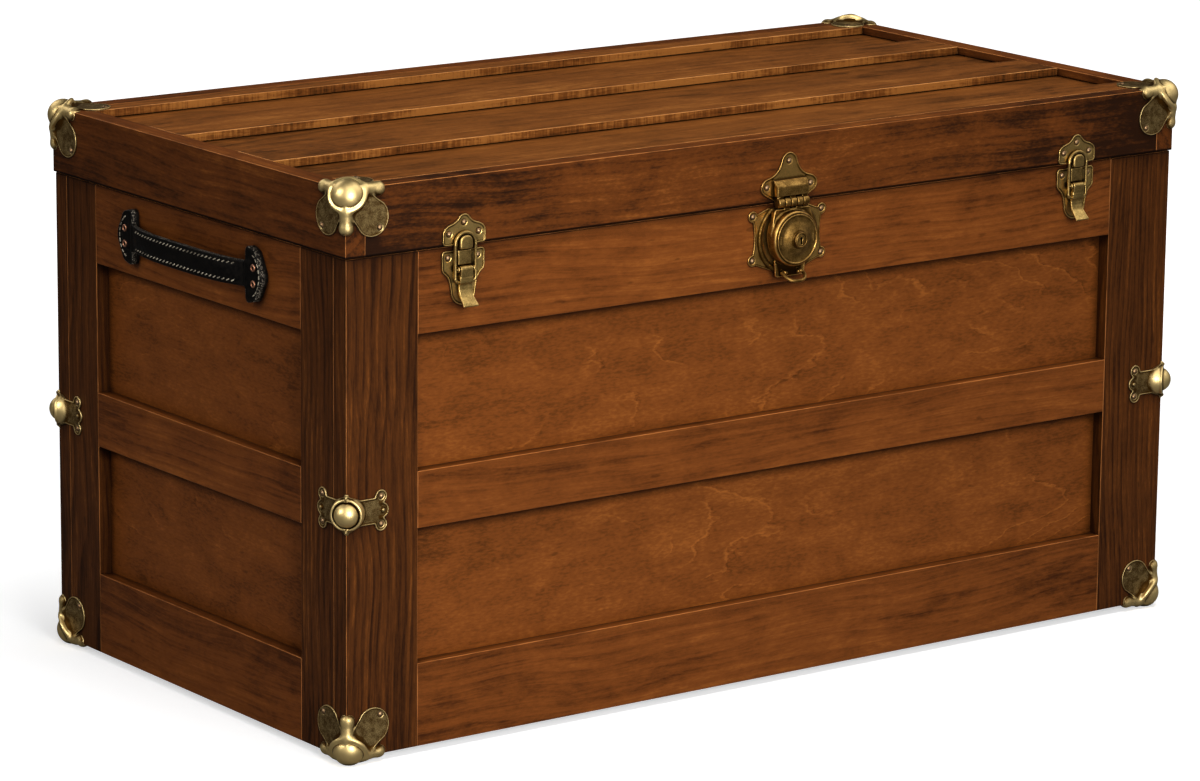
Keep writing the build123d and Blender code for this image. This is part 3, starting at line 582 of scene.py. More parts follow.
def sculpt(field, low, high, step=0.5, keep=0.3, height=lambda x, y, z: z):
    """Thinned mesh of a field in millimetres. Its hollows, its ridges and how far it stands
    proud of the wood, which 'height' gives from x, y and z, are kept as attributes."""
    verts, quads = net(field, low, high, step)
    mesh = bpy.data.meshes.new("sculpt")
    mesh.from_pydata(verts.tolist(), [], quads.tolist())
    made = bpy.data.objects.new("sculpt", mesh)
    scene.collection.objects.link(made)
    thin = made.modifiers.new("thin", "DECIMATE")
    thin.ratio = keep
    graph = bpy.context.evaluated_depsgraph_get()
    result = bpy.data.meshes.new_from_object(made.evaluated_get(graph))
    bpy.data.objects.remove(made)
    bpy.data.meshes.remove(mesh)
    count = len(result.vertices)
    places = np.zeros(count * 3)
    result.vertices.foreach_get("co", places)
    places = places.reshape(-1, 3)
    normals = slope(field, places)
    hollow = np.clip(1 - field(*(places + 2.0 * normals).T) / 2.0, 0, 1)
    hollow += np.clip(1 - field(*(places + 5.0 * normals).T) / 5.0, 0, 1) * 0.6
    ridge = np.clip(1 + field(*(places - 0.6 * normals).T) / 0.6, 0, 1)
    proud = np.clip(height(*places.T) / PROUD, 0, 1)
    for name, values in (("hollow", hollow), ("ridge", ridge), ("proud", proud)):
        layer = result.attributes.new(name, "FLOAT", "POINT")
        layer.data.foreach_set("value", values.astype(np.float32))
    result.polygons.foreach_set("use_smooth", [True] * len(result.polygons))
    return result


def fit(name, body, mesh, places, nodes, material):
    """One piece: a mesh at every place, standing for CAD nodes and riding on their body."""
    joined = bmesh.new()
    for matrix in places:
        copy = mesh.copy()
        copy.transform(matrix)
        if matrix.determinant() < 0:
            copy.flip_normals()
        joined.from_mesh(copy)
        bpy.data.meshes.remove(copy)
    result = bpy.data.meshes.new(name)
    joined.to_mesh(result)
    joined.free()
    result.materials.append(material)
    piece = bpy.data.objects.new(name, result)
    scene.collection.objects.link(piece)
    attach(piece, body)
    if nodes:
        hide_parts(*nodes)


# ---- brass material
def kept(tree, name):
    """One of the attributes that sculpt keeps on its meshes; 0 on the CAD's own meshes."""
    return add(tree, "Attribute", attribute_name=name).outputs["Fac"]


def brass_material(name, dull, bright, roughness, wear=1.0, polish=0.9):
    """Aged brass: dark in its hollows, with painted shade in its crevices and between parts,
    rubbed bright on its ridges and where it stands proud.
    """
    material, tree, shader = new_material(name)
    at = own(tree, "Object")
    hollow, ridge, proud = (kept(tree, name) for name in ("hollow", "ridge", "proud"))
    mottle = noise(tree, at, 1300.0, 3.0, 0.65)
    cloud = noise(tree, at, 160.0, 3.0, 0.6)
    rubbed = plus(tree, span(tree, ridge, 0.1, 0.6, 0.0, 0.7 * wear),
                  span(tree, mottle, 0.35, 0.7, -0.1, 0.12),
                  span(tree, cloud, 0.3, 0.7, -0.08, 0.12),
                  span(tree, proud, 0.16, 0.75, 0.0, polish),
                  span(tree, hollow, 0.12, 0.9, 0.0, -0.5))
    colour = mix(tree, span(tree, rubbed, -0.05, 0.9), dull, bright)
    grime_and_shade = (dull[0] * 0.18, dull[1] * 0.16, dull[2] * 0.12, 1)
    colour = mix(tree, span(tree, hollow, 0.4, 1.2, 0.0, 0.85), colour, grime_and_shade)
    # Painted shade: crevices and the narrow gaps between parts darken as if shaded.
    crevice = add(tree, "AmbientOcclusion", {"Distance": 0.0035}, samples=4).outputs["AO"]
    colour = mix(tree, span(tree, crevice, 0.35, 0.85, 0.85, 0.0), colour, grime_and_shade)
    matt = plus(tree, rubbed, span(tree, mottle, 0.2, 0.8, -0.2, 0.2))
    matt = span(tree, matt, -0.3, 0.9, roughness + 0.16, roughness - 0.06)
    feed(tree, shader, {"Base Color": colour, "Metallic": 1.0, "Roughness": matt,
                        "Normal": bump(tree, mottle, 0.15, 0.0002)})
    return material


BRASS = brass_material("antique_brass", rgb(76, 49, 15), rgb(255, 223, 152), 0.48)
LATCH_BRASS = brass_material("latch_brass", rgb(70, 48, 15), rgb(246, 205, 124), 0.36, 1.2, 0.4)
LOCK_BRASS = brass_material("lock_brass", rgb(78, 51, 14), rgb(242, 189, 104), 0.36, 1.2, 0.25)
NAILS = brass_material("nails", rgb(148, 116, 82), rgb(244, 216, 176), 0.28, 1.0, 0.4)
HARDWARE = brass_material("hinge_brass", rgb(96, 78, 42), rgb(206, 180, 118), 0.42)


def dimple(u, v, w, at, level=SHEET):
    """Shallow bowl round a nail, to be cut from a plate whose face is at w = level."""
    return ball(u, v, w, (*at, level + 4.4), 5.5)


# ---- corner caps
CAP_BALL, CAP_BALL_R = (7.0, 7.0, 7.0), 14.1
CAP_TIP, CAP_TIP_IN = 33.4, 2.7  # the legs' ends: along an edge, and in from its faces
OUTWARD = (-1.0, -1.0, -1.0)
FOOT = 6.2  # the ball feet end this far under the wood
CAP_REACH = (-10, -10, -10), (43, 43, 43)
PETAL_NAIL = (33.5, 35.0)  # out along a level edge, and along the other way


def petal(across, along, out):
    """Dished oval lobe of a cap; 'out' is the height over the face."""
    flat = pill(across, along, (11, 11), (26.0, 26.0), 12.4, 16.0)
    return cut(plate(flat, out, 0.6, 0.9, 0.6), dimple(across, along, out, PETAL_NAIL))


def cap_field(x, y, z):
    """Cap on a corner at the origin, with the wood in the octant of positive x, y and z."""
    outward = np.array(OUTWARD) / math.sqrt(3)
    ahead = ahead_of(x, y, z, CAP_BALL, outward)
    body = ball(x, y, z, CAP_BALL, 13.6)
    for axis in range(3):
        start = [21.0 if i == axis else 1.5 for i in range(3)]
        end = [CAP_TIP if i == axis else CAP_TIP_IN for i in range(3)]
        body = join(body, bar(x, y, z, start, end, 5.0, 5.3), 4.5)
        body = join(body, ball(x, y, z, end, 5.7), 3.0)
    sheet = join(petal(x, y, -z), join(petal(x, z, -y), petal(y, z, -x), 0.5), 0.5)
    body = join(body, sheet, 3.0)
    rim_at = np.array(CAP_BALL) + 1.8 * outward
    body = join(body, hoop(x, y, z, rim_at, OUTWARD, 15.2, 1.5), 4.0)
    knob = ball(x, y, z, CAP_BALL, CAP_BALL_R)
    body = cut(body, np.maximum(knob, 1.2 - ahead), 0.2)
    body = join(body, knob, 0.15)
    return meet(body, np.minimum(np.minimum(x, y), z) - 0.05, 0.2)


def foot_field(x, y, z):
    """Cap whose ball is a foot, cut level."""
    return meet(cap_field(x, y, z), -FOOT - z, 0.3)


def cap_height(x, y, z):
    """Polish height: the dome's middle is rubbed brightest, its edge hardly at all."""
    ahead = (sum(CAP_BALL) - x - y - z) / math.sqrt(3)
    dome = PROUD * np.clip((ahead - 0.5) / 11.5, 0, 1)
    on_dome = ball(x, y, z, CAP_BALL, CAP_BALL_R) < 0.3
    return np.where(on_dome, dome, -join(join(x, y, 9.0), z, 9.0))


def corner_matrices(half, centre, z, up):
    """Matrices from cap space to four corners at z; up is 1 where the wood is above z, or -1."""
    for sx in (-1, 1):
        for sy in (-1, 1):
            corner = Vector((centre[0] + sx * half[0], centre[1] + sy * half[1], z))
            yield Matrix.Translation(corner) @ Matrix.Diagonal((-sx * MM, -sy * MM, up * MM, 1))


def middle_and_half(node_a, node_b):
    """Centre and half size in x and y of two nodes' common box."""
    lows, highs = zip(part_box(node_a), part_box(node_b))
    ends = [(min(v[i] for v in lows), max(v[i] for v in highs)) for i in range(2)]
    return [(a + b) / 2 for a, b in ends], [(b - a) / 2 for a, b in ends]


body_middle, body_half = middle_and_half("front_bottom_rail", "back_stiles")
body_half[0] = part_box("front_stile_right")[1].x
lid_middle, lid_half = middle_and_half("lid_left_board", "lid_right_board")
body_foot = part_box("front_bottom_rail")[0].z
lid_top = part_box("lid_front_board")[1].z
top_cap = sculpt(cap_field, *CAP_REACH, 0.55, 0.24, cap_height)
foot_cap = sculpt(foot_field, *CAP_REACH, 0.55, 0.24, cap_height)
fit("top_caps", "lid", top_cap, corner_matrices(lid_half, lid_middle, lid_top, -1),
    ["top_corner_caps"], BRASS)
fit("foot_caps", "chest", foot_cap, corner_matrices(body_half, body_middle, body_foot, 1),
    ["bottom_corner_caps"], BRASS)


# ---- edge clamps
CLAMP_NAIL = (34.5, 12.0)  # from the edge, and above or below the middle
CLAMP_BALL, CLAMP_BALL_R = (2, 2, 0), 11.4


def clamp_field(x, y, z):
    """Clamp on an upright edge at the origin, wood in the quadrant of positive x and y."""
    def wing(u, out):
        tall = np.abs(z)
        flat = np.maximum(tall - 11.0, u - 33.5)
        for lobe_u, lobe_z, lobe_r in ((34.2, 12.0, 5.6), (34.2, -12.0, 5.6), (35.2, 0.0, 6.4)):
            flat = join(flat, disc(u, z, (lobe_u, lobe_z), lobe_r), 2.6)
        flat = join(flat, pill(u, tall, (0, 14.6), (9, 9), 1.6, 3.0), 2.0)
        flat = cut(flat, disc(u, tall, (20, 22.6), 10.2), 1.5)
        flat = np.maximum(flat, -1.6 - u)
        sheet = cut(plate(flat, out, 0.7, 1.0), dimple(u, tall, out, CLAMP_NAIL))
        return join(sheet, ball(u, out, z, (36.0, 0.9, 0), 2.1), 0.5)
    ahead = (x + y) / -math.sqrt(2)
    body = join(wing(x, -y), wing(y, -x), 1.0)
    body = join(body, bar(x, y, np.abs(z), (0.8, 0.8, 14.4), (0.8, 0.8, 16.2), 1.9, 1.7), 1.0)
    body = join(body, np.maximum(ball(x, y, z, (4.2, 4.2, 0), 14.2), ahead - 0.4), 2.0)
    body = join(body, hoop(x, y, z, (0, 0, 0), (-1, -1, 0), 12.6, 1.3), 1.0)
    body = cut(body, np.maximum(ball(x, y, z, CLAMP_BALL, 12.0), -1.5 - ahead), 0.3)
    body = join(body, ball(x, y, z, CLAMP_BALL, CLAMP_BALL_R), 0.15)
    return meet(body, np.minimum(x, y) - 0.05, 0.2)


def clamp_height(x, y, z):
    dome = PROUD * np.clip(((sum(CLAMP_BALL) - x - y) / math.sqrt(2) - 1.5) / 8.5, 0, 1)
    return np.where(ball(x, y, z, CLAMP_BALL, CLAMP_BALL_R) < 0.3, dome, -join(x, y, 6.0))


clamp_low, clamp_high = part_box("edge_clamps")
clamp_z = (clamp_low.z + clamp_high.z) / 2
clamp = sculpt(clamp_field, (-10, -10, -18), (43, 43, 18), 0.5, 0.25, clamp_height)
fit("clamps", "chest", clamp, corner_matrices(body_half, body_middle, clamp_z, 1),
    ["edge_clamps"], BRASS)


# ---- fittings on the front
# Their fields use (u, v, w): millimetres right of the fitting's middle, above the wood's foot
# and out from the body's front face. The joints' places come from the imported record.
joints = {joint["name"]: joint for joint in frame["record"]["behaviour"]["joints"]}
front_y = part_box("front_bottom_rail")[0].y
LID_STEP = (front_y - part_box("lid_front_board")[0].y) / MM


def front_matrix(x):
    return Matrix(((MM, 0, 0, x), (0, 0, -MM, front_y), (0, MM, 0, body_foot), (0, 0, 0, 1)))


def hinge_place(name):
    """Joint axis of a front fitting as its x in metres and its (w, v) in millimetres."""
    x, y, z = joints[name]["pos_m"]
    return x, ((front_y - y) / MM, (z - body_foot) / MM)


def dimpled(body, u, v, w, spots, level=SHEET):
    for at in spots:
        body = cut(body, dimple(u, v, w, at, level))
    return body


def level_with(body, w, low=0.05):
    """Trim whatever lies under w = low."""
    return meet(body, low - w, 0.1)


latch_x, LEVER_PIN = hinge_place("latch_right_lever")
LOOP_PIN = hinge_place("latch_right_loop")[1]
LEVER_HALF = 6.65
LATCH_BASE_NAILS = ((-15.0, 419.5), (15.0, 419.5))
CATCH_NAILS = ((0.0, 449.0), (-15.0, 440.0), (15.0, 440.0))


def latch_base(u, v, w):
    side = np.abs(u)
    flat = outline(side, v, [(0, 420, 5), (18.2, 422.2, 3.4), (17.2, 410.5, 4.2), (0, 404, 5)])
    flat = join(flat, pill(u, v, (0, 390.8), (0, 406), 12.3, 15.0), 7.0)
    body = plate(flat, w, 0.9, 1.2)
    bridge = np.maximum(side - LEVER_HALF, np.abs(v - 419.4) - 6.2)
    body = join(body, slab(bridge, w, -SUNK, 4.0, 0.8), 0.5)
    ear = pill(v, w, (LEVER_PIN[1], 0.5), (LEVER_PIN[1], LEVER_PIN[0]), 3.2, 2.4)
    body = join(body, slab(ear, side, 7.0, 8.4, 0.3), 0.4)
    pin_ends = ((along, LEVER_PIN[1], LEVER_PIN[0]) for along in (7.0, 8.9))
    body = join(body, bar(side, v, w, *pin_ends, 1.3, 1.3), 0.2)
    return level_with(dimpled(body, u, v, w, LATCH_BASE_NAILS), w)


def catch_plate(u, v, w):
    side, w = np.abs(u), w - LID_STEP
    flat = outline(u, v, [(0, 448.8, 7.4), (-15.2, 440.4, 6.3), (15.2, 440.4, 6.3),
                          (-18.2, 433.9, 3.4), (18.2, 433.9, 3.4)])
    flat = cut(flat, disc(side, v, (13.9, 457.6), 9.0), 2.5)
    body = plate(flat, w, 0.9, 1.2)
    catch = outline(u, v, [(-4.25, 429, 2.4), (4.25, 429, 2.4), (-1.05, 432.9, 5.6),
                           (1.05, 432.9, 5.6)])
    body = join(body, slab(catch, w, 0.0, 5.6, 2.0), 0.6)
    return level_with(dimpled(body, u, v, w, CATCH_NAILS), w)


LEVER_PATH = (LOOP_PIN, (4.3, 393.6), (5.2, 388.6), (8.2, 384.2), (13.0, 379.4))


def lever(u, v, w):
    """Bent lever: a flat ridge over its pin, a broad face, then a lip that curves out."""
    side = np.abs(u)
    body = pill(w, v, LEVER_PIN, (LOOP_PIN[0], LOOP_PIN[1] + 5.5), 2.9, 2.7)
    strip = pill(w, v, (LOOP_PIN[0], LOOP_PIN[1] + 3), LOOP_PIN, 2.6, 2.4)
    for a, b in zip(LEVER_PATH, LEVER_PATH[1:]):
        strip = join(strip, pill(w, v, a, b, 0.9, 0.9), 0.8)
    flare = 0.9 * np.clip((w - 7) / 6, 0, 1)
    body = meet(body, side - LEVER_HALF + 0.6, 0.6)
    return join(body, meet(strip, side - LEVER_HALF - flare, 0.7), 0.5)


LOOP_HALF, LOOP_TOP, LOOP_WIRE = 10.3, 440.8, 1.4


def loop(u, v, w):
    """Wire bail of a latch: round at the top, bent in at its feet."""
    side = np.abs(u)
    out, foot = LOOP_PIN
    bend = LOOP_TOP - LOOP_HALF
    around = disc(u, v, (0, bend), LOOP_HALF)
    body = meet(np.sqrt(around ** 2 + (w - out) ** 2) - LOOP_WIRE, bend - v, 0.01)
    points = ((LOOP_HALF, bend), (LOOP_HALF, foot + 2.4), (LOOP_HALF - 0.8, foot + 0.8),
              (LOOP_HALF - 2.4, foot), (5.2, foot))
    for a, b in zip(points, points[1:]):
        body = join(body, bar(side, v, w, (*a, out), (*b, out), LOOP_WIRE, LOOP_WIRE), 0.4)
    return body


def make_latches():
    base = sculpt(latch_base, (-23, 377, -1), (23, 428, 9), 0.42)
    catch = sculpt(catch_plate, (-23, 425, 0), (23, 458, 10), 0.42)
    arm = sculpt(lever, (-9, 376, 0), (9, 414, 17), 0.36, 0.35)
    wire = sculpt(loop, (-13, 396, 2), (13, 443, 7), 0.34, 0.35)
    both = [front_matrix(sign * latch_x) for sign in (-1, 1)]
    for side, place in zip(("left", "right"), both):
        for kind, mesh in (("lever", arm), ("loop", wire)):
            node = f"latch_{kind}_{side}"
            fit(f"{kind}_{side}", node, mesh, [place], [node], LATCH_BRASS)
    fit("latch_bases", "chest", base, both, ["latch_base_plates", "latch_pins"], LATCH_BRASS)
    fit("latch_catches", "lid", catch, both, ["latch_catch_plates"], LATCH_BRASS)


make_latches()


# ---- hasp lock
lock_x, KNUCKLE = hinge_place("hasp_hinge")
CUP_V = hinge_place("key_turn")[1][1]
BAIL_PIN = hinge_place("pull_ring_swing")[1]
LOCK_NAILS = ((-38, 419.5), (38, 419.5), (-38, 380.5), (38, 380.5))
HASP_NAILS = ((0, 466), (-24.2, 444), (24.2, 444))
KNUCKLE_R = 4.4
CUP_R, CUP_BACK, CUP_FRONT = 25.0, 3.8, 15.0
STEP_R, STEP_UP, DOME_R = 22.0, 1.4, 15.5  # the cup's stepped face and the dome on it
KEY_MARK = 17.8  # how far the bars are beside the keyhole
PLUG_R, PLUG_NOSE = 5.0, 22.0


def lock_base(u, v, w):
    side, rise = np.abs(u), v - CUP_V
    around = np.sqrt(u ** 2 + rise ** 2)
    flat = outline(u, v, [(-33, 416, 5), (33, 416, 5), (-33, 381, 5), (33, 381, 5), (0, CUP_V, 33)])
    flat = cut(flat, disc(side, rise, (96, 1.5), 60), 1.0)
    for at in LOCK_NAILS:
        flat = join(flat, disc(u, v, at, 4.8), 1.0)
    body = plate(flat, w, 0.5, 1.0)
    bead = np.sqrt((around - 31.0) ** 2 + ((w - 0.9) * 0.95) ** 2) - 2.3
    body = join(body, bead, 0.6)
    for middle, half, low in ((383.8, 1.8, 0), (386.2, 2.2, 8.8)):  # the keeper's shelf and lip
        hook = np.maximum(side - 4.0, np.abs(v - middle) - half)
        body = join(body, slab(hook, w, low, 10.4, 0.4), 0.3)
    body = dimpled(body, u, v, w, LOCK_NAILS)
    return level_with(meet(body, v - 425.4, 0.3), w)


def knuckles(u, v, w, spans):
    """Rolled hinge segments round the hasp's axis."""
    barrel = disc(w, v, KNUCKLE, KNUCKLE_R)
    segments = [meet(barrel, np.abs(u - (a + b) / 2) - (b - a) / 2, 0.9) for a, b in spans]
    return np.minimum.reduce(np.broadcast_arrays(*segments))


def hasp_plate(u, v, w):
    side = np.abs(u)
    flat = outline(u, v, [(0, 466, 7.6), (-24.2, 444, 6.8), (24.2, 444, 6.8),
                          (-14, 437.4, 6), (14, 437.4, 6)])
    flat = cut(flat, disc(side, v, (26.6, 470), 18.3), 2.0)
    body = pressed(flat, w, LID_STEP - SUNK, SHEET + SUNK, 0.8, 1.3)
    cover = np.maximum(side - 17.8, np.abs(v - 443.1) - 6.9)
    cover = meet(cover, ((v - 450) * 5.0 + (w - 4.2) * 5.5) / 7.43, 0.5)
    cover = meet(cover, (side - 17.8) * 0.86 + (w - 7.4) * 0.5, 0.5)
    body = join(body, slab(cover, w, LID_STEP, 9.0, 0.7), 0.6)
    swept = np.maximum(disc(w, v, KNUCKLE, KNUCKLE_R) - 0.6, np.abs(side - 6.7) - 3.4)
    body = cut(body, swept, 0.2)  # room for the hasp's knuckles to turn
    rolled = knuckles(u, v, w, ((-16.75, -10.5), (-2.9, 2.9), (10.5, 16.75)))
    stem = np.maximum(slab(np.abs(v - 434.2) - 2.6, w, 3.2, 8.2, 0.4), side - 16.75)
    stem = meet(stem, np.minimum(side - 2.9, 10.5 - side), 0.2)
    body = join(join(body, stem, 0.4), rolled, 0.4)
    return level_with(dimpled(body, u, v, w, HASP_NAILS, LID_STEP + SHEET), w, LID_STEP + 0.05)


def hasp(u, v, w):
    """Hasp: knuckles, neck, round cup with a stepped face, and the tab for the pull ring."""
    side, rise = np.abs(u), v - CUP_V
    around = np.sqrt(u ** 2 + rise ** 2)
    draft = CUP_R - (w - CUP_BACK) * 0.06
    cup = slab(around - draft, w, CUP_BACK, CUP_FRONT, 2.6)
    neck = outline(u, v, [(-17, 421.8, 3.2), (17, 421.8, 3.2), (-19, CUP_V + 4, 5),
                          (19, CUP_V + 4, 5)])
    neck = pressed(neck, w, CUP_BACK, 4.2, 0.8, 1.6, 0.6)
    body = join(cup, neck, 3.0)
    body = join(body, slab(around - STEP_R, w, CUP_FRONT - 2, CUP_FRONT + STEP_UP, 0.5), 0.3)
    dish = CUP_FRONT + STEP_UP - 0.7 * np.clip((21.3 - around) / 0.8, 0, 1)
    body = np.maximum(body, np.minimum(w - dish, 21.6 - around))
    dome = w - (CUP_FRONT + 0.5 + 5.4 * np.clip(1 - around / DOME_R, 0, 1) ** 0.8)
    body = join(body, meet(around - DOME_R, np.maximum(dome, CUP_FRONT - 4 - w), 0.3), 0.8)
    collar = np.sqrt((around - 6.0) ** 2 + (w - PLUG_NOSE + 0.9) ** 2) - 1.0
    body = join(body, meet(around - 6.9, np.abs(w - 16) - 5.0, 0.3), 0.8)
    body = join(body, collar, 0.4)
    body = cut(body, around - PLUG_R - 0.25, 0.1)
    for at in (-KEY_MARK, KEY_MARK):
        slot = np.maximum(np.abs(u - at) - 0.55, np.abs(rise) - 3.4)
        body = join(body, slab(slot, w, CUP_FRONT - 1, CUP_FRONT + 0.95, 0.3), 0.2)
    tab = outline(u, v, [(-13.5, 366.5, 2.4), (13.5, 366.5, 2.4), (-15, 378, 2), (15, 378, 2)])
    body = join(body, pressed(tab, w, CUP_BACK, 1.6, 0.5, 1.0, 0.4), 1.0)
    body = join(body, ball(u, v, w, (0, 420.6, 8.2), 2.0), 0.3)
    body = join(body, knuckles(u, v, w, ((-9.7, -3.7), (3.7, 9.7))), 0.4)
    stem = np.maximum(slab(np.abs(v - 425.6) - 2.6, w, 4.2, 8.6, 0.5), np.abs(side - 6.7) - 3.0)
    body = join(body, stem, 0.5)
    lug = pill(v, w, (BAIL_PIN[1], BAIL_PIN[0]), (BAIL_PIN[1], 5.0), 2.2, 2.4)
    body = join(body, slab(lug, side, 7.7, 9.5, 0.4), 0.5)
    hollow = slab(around - CUP_R + 1.8, w, CUP_BACK - 1, CUP_FRONT - 1.6, 0.4)
    return meet(cut(body, hollow, 0.3), CUP_BACK - w, 0.2)


def plug(u, v, w):
    around = np.sqrt(u ** 2 + (v - CUP_V) ** 2)
    body = slab(around - PLUG_R, w, 8.2, PLUG_NOSE - 0.5, 0.7)
    hole = np.minimum(np.maximum(np.abs(u) - 0.75, np.abs(v - CUP_V + 1.0) - 3.2),
                      np.sqrt(u ** 2 + (v - CUP_V - 1.2) ** 2) - 1.5)
    return cut(body, slab(hole, w, PLUG_NOSE - 5, PLUG_NOSE + 1, 0.2), 0.2)


def cam(u, v, w):
    return slab(pill(u, v, (0, CUP_V), (9.2, CUP_V), 5.0, 2.6), w, 6.2, 8.2, 0.4)


BAIL_HALF, BAIL_DROP, BAIL_BEND, BAIL_WIRE = 11.2, 11.0, 9.0, 1.5
BAIL_TILT = math.radians(56)


def pull_ring(u, v, w):
    """Bent wire ring hanging tilted outwards from its pin."""
    side = np.abs(u)
    dv, dw = v - BAIL_PIN[1], w - BAIL_PIN[0]
    down = -dv * math.cos(BAIL_TILT) + dw * math.sin(BAIL_TILT)
    off = dv * math.sin(BAIL_TILT) + dw * math.cos(BAIL_TILT)
    bend = BAIL_DROP - BAIL_BEND
    low, wide = down > bend, side > BAIL_HALF - BAIL_BEND
    corner = np.sqrt(np.maximum(side - BAIL_HALF + BAIL_BEND, 0) ** 2
                     + np.maximum(down - bend, 0) ** 2)
    line = np.where(low & wide, np.abs(corner - BAIL_BEND),
                    np.where(low, np.abs(down - BAIL_DROP), np.abs(side - BAIL_HALF)))
    arm = np.sqrt(line ** 2 + off ** 2 + np.minimum(down, 0) ** 2) - BAIL_WIRE
    stub = bar(side, down, off, (6.8, 0, 0), (BAIL_HALF, 0, 0), BAIL_WIRE, BAIL_WIRE)
    return join(arm, stub, 0.5)


LOCK_PIECES = (
    ("lock_base", "chest", lock_base, (-45, 364, -1), (45, 427, 12), 0.5, ["lock_base_plate"]),
    ("hasp_top", "lid", hasp_plate, (-32, 425, 0), (32, 474, 13), 0.42, ["hasp_plate", "hasp_pin"]),
    ("hasp_cup", "hasp", hasp, (-27, 361, 2), (27, 436, 23), 0.45, ["hasp"]),
    ("plug", "key_plug", plug, (-6, 392, 7), (6, 405, 23), 0.3, ["key_plug"]),
    ("cam", "key_plug", cam, (-6, 392, 5), (13, 405, 9), 0.5, ["lock_cam"]),
    ("ring", "pull_ring", pull_ring, (-13, 358, 7), (13, 371, 21), 0.3, ["pull_ring"]),
)
for name, body, field, low, high, step, nodes in LOCK_PIECES:
    fit(name, body, sculpt(field, low, high, step), [front_matrix(lock_x)], nodes, LOCK_BRASS)


# ---- leather handles
# Their fields use (u, v, w): millimetres along, above the middle and out from the end's face.
HANDLE_BOW, HANDLE_SPAN = 11.0, 93.0
STRAP_HALF, STRAP_LAYER, STRAP_END = 11.0, 2.5, 108  # half its width, half its thickness
CAP_DISCS = ((96, 20, 4.5), (96, -20, 4.5), (104, 0, 12.5), (101, 15, 8), (101, -15, 8))
RIVETS = ((104.0, 7.0), (104.0, -7.0))
SEAM_V, SEAM_PITCH, SEAM_TURN = 7.6, 5.6, 28
CAP_FACE, CAP_SEAM_W = 7.5, 7.25  # where the rivets sit on a cap, and its stitches


def strap_middle(u):
    """How far out the strap's middle layer runs at u, and half its width there."""
    swing = 1 - np.minimum(np.abs(u) / HANDLE_SPAN, 1) ** 3.2
    return 4.4 + HANDLE_BOW * swing, STRAP_HALF + 0.8 * swing


def handle(u, v, w):
    side, rise = np.abs(u), np.abs(v)
    out, half = strap_middle(u)
    plump = 0.9 * np.clip(1 - (v / SEAM_V) ** 2, 0, 1) - 0.5 * np.exp(-((rise - SEAM_V) / 0.8) ** 2)
    plump = plump * np.clip((86 - side) / 12, 0, 1)
    strap = meet(rise - half, np.abs(w - out - 0.5 * plump) - STRAP_LAYER - 0.5 * plump, 1.6)
    strap = np.maximum(strap, side - STRAP_END)
    sheet = pressed(outline(side, v, CAP_DISCS), w, -SUNK, 7.4, 0.9, 2.2, 1.2)
    body = join(sheet, strap, 2.6)
    for at in RIVETS:
        body = cut(body, ball(side, v, w, (*at, 9.6), 4.4))
    return level_with(body, w)


def leather_wear(u, v, w):
    """Where the leather's cut edges show: the caps' side walls and the strap's upper edge."""
    side, rise = np.abs(u), np.abs(v)
    wall = np.exp(-(outline(side, v, CAP_DISCS) / 0.9) ** 2) * np.clip((w - 1) / 3, 0, 1)
    wall = wall * ((rise > 12.5) | (side > 99))
    out, half = strap_middle(u)
    edge = np.exp(-((rise - half) / 0.8) ** 2) * (np.abs(w - out) < 2.2) * (side < 95)
    return PROUD * np.maximum(wall, 0.6 * edge)


def stitch(x, y, z):
    return bar(x, y, z, (-1.3, 0, 0), (1.3, 0, 0), 0.5, 0.5)


def rivet(x, y, z):
    """Tubular rivet with a rolled rim."""
    flat = np.sqrt(x ** 2 + y ** 2)
    body = np.sqrt((flat - 2.45) ** 2 + (z * 0.9) ** 2) - 0.85
    floor = slab(flat - 2.3, z, -2.2, -1.5, 0.2)
    return join(body, floor, 0.2)


def leather_material():
    material, tree, shader = new_material("leather")
    at = own(tree, "Object")
    pale_edges, hollow = kept(tree, "proud"), kept(tree, "hollow")
    pebble = add(tree, "TexVoronoi", {"Vector": at, "Scale": 750.0}).outputs["Distance"]
    crease = noise(tree, at, 260.0, 4.0, 0.6)
    colour = mix(tree, span(tree, crease, 0.35, 0.75), rgb(7, 6, 5), rgb(20, 16, 12))
    fibre = mix(tree, span(tree, pebble, 0.1, 0.55), rgb(150, 140, 124), rgb(24, 21, 18))
    colour = mix(tree, span(tree, pale_edges, 0.25, 0.8, 0.0, 0.8), colour, fibre)
    colour = mix(tree, span(tree, hollow, 0.5, 1.2, 0.0, 0.7), colour, rgb(5, 4, 4))
    relief = plus(tree, crease, times(tree, pebble, -0.5))
    feed(tree, shader, {"Base Color": colour, "Specular IOR Level": 0.08,
                        "Roughness": span(tree, crease, 0.3, 0.7, 0.42, 0.56),
                        "Normal": bump(tree, relief, 0.15, 0.0003)})
    return material


def thread_material():
    material, tree, shader = new_material("thread")
    at = own(tree, "Object")
    soil = noise(tree, at, 90.0, 3.0, 0.6)
    twist = noise(tree, at, 2200.0, 1.0, 0.5)
    colour = mix(tree, span(tree, soil, 0.35, 0.65), rgb(120, 110, 92), rgb(206, 194, 168))
    colour = mix(tree, span(tree, twist, 0.4, 0.6, 0.0, 0.35), colour, rgb(60, 54, 46))
    feed(tree, shader, {"Base Color": colour, "Roughness": 0.8})
    return material


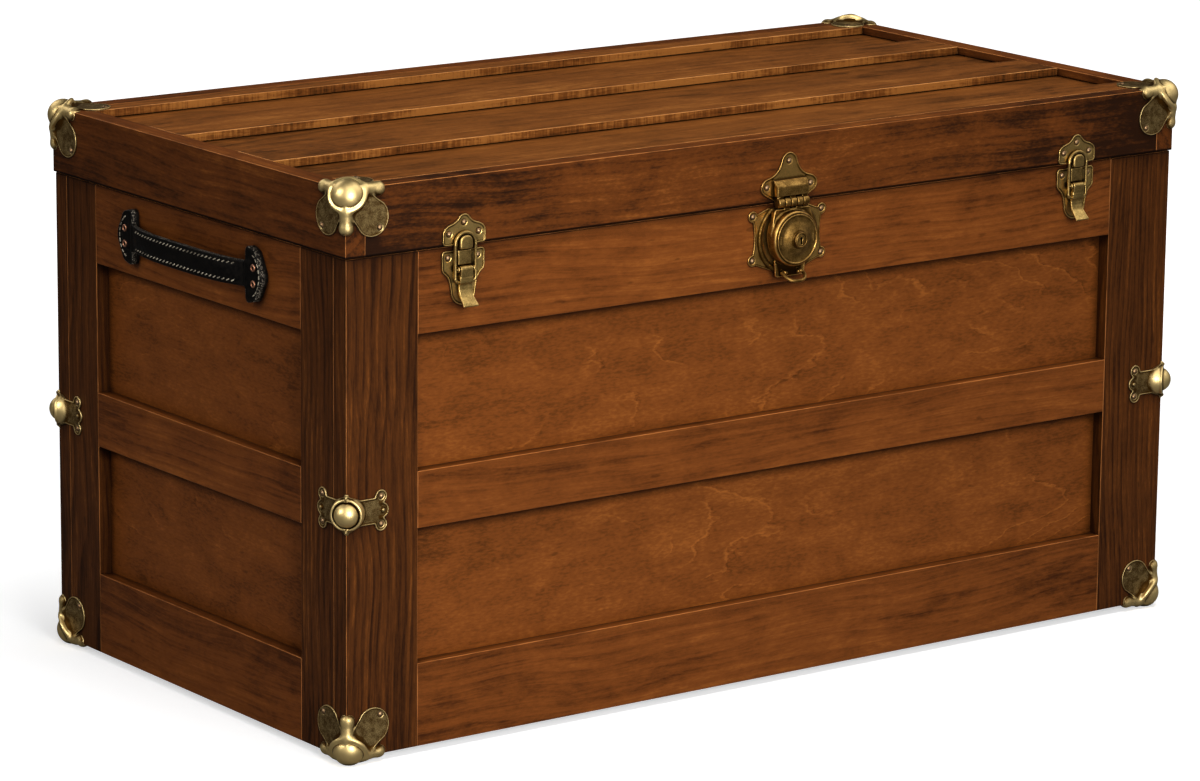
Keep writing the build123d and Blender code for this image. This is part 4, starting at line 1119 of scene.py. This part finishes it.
LEATHER = leather_material()
THREAD = thread_material()
COPPER = brass_material("copper_rivets", rgb(176, 120, 92), rgb(252, 208, 174), 0.32, 1.0, 0.3)
strap_low, strap_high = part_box("left_handle_strap")
handle_y, handle_z = (strap_low.y + strap_high.y) / 2, (strap_low.z + strap_high.z) / 2


def end_matrix(side):
    """From handle space to the left (-1) or right (1) end of the chest."""
    face = body_middle[0] + side * body_half[0]
    return Matrix(((0, 0, side * MM, face), (side * MM, 0, 0, handle_y),
                   (0, MM, 0, handle_z), (0, 0, 0, 1)))


def lay(u, v, w, heading, tilt=0.0):
    """Matrix for something along a heading in the (u, v) plane and tilted out of it."""
    return (Matrix.Translation((u, v, w)) @ Matrix.Rotation(math.radians(heading), 4, "Z")
            @ Matrix.Rotation(-tilt, 4, "Y"))


def seam_places():
    """Stitches along both edges of the strap and round the outer rim of its caps."""
    for row in (-1, 1):
        for step in range(-14, 15):
            u = step * SEAM_PITCH
            tilt = math.atan2(strap_middle(u + 0.5)[0] - strap_middle(u - 0.5)[0], 1.0)
            yield lay(u, row * SEAM_V, strap_middle(u)[0] + 2.7, SEAM_TURN, tilt)
    for side in (-1, 1):
        for turn in range(-60, 61, 15):
            along = math.radians(turn)
            u = side * (95.5 + 17.2 * math.cos(along))
            yield lay(u, 19.5 * math.sin(along), CAP_SEAM_W, 90 + side * turn)


def make_handles():
    one = sculpt(handle, (-119, -27, -1), (119, 27, 24), 0.8, height=leather_wear)
    thread = sculpt(stitch, (-2, -1, -1), (2, 1, 1), 0.3, 0.5)
    tube = sculpt(rivet, (-3.6, -3.6, -2.2), (3.6, 3.6, 1.5), 0.3, 0.4, lambda x, y, z: z * 4)
    ends = [end_matrix(side) for side in (-1, 1)]
    fit("handles", "chest", one, ends,
        ["left_handle_strap", "right_handle_strap", "handle_caps"], LEATHER)
    fit("handle_stitching", "chest", thread,
        [end @ place for end in ends for place in seam_places()], [], THREAD)
    spots = [lay(side * u, v, CAP_FACE, 0) for side in (-1, 1) for u, v in RIVETS]
    fit("rivets", "chest", tube, [end @ spot for end in ends for spot in spots],
        ["handle_rivets"], COPPER)


make_handles()


# ---- remaining CAD fittings
for node in frame["nodes"]:
    if node not in wooden:
        paint(node, NAILS if node.endswith("nails") else HARDWARE)
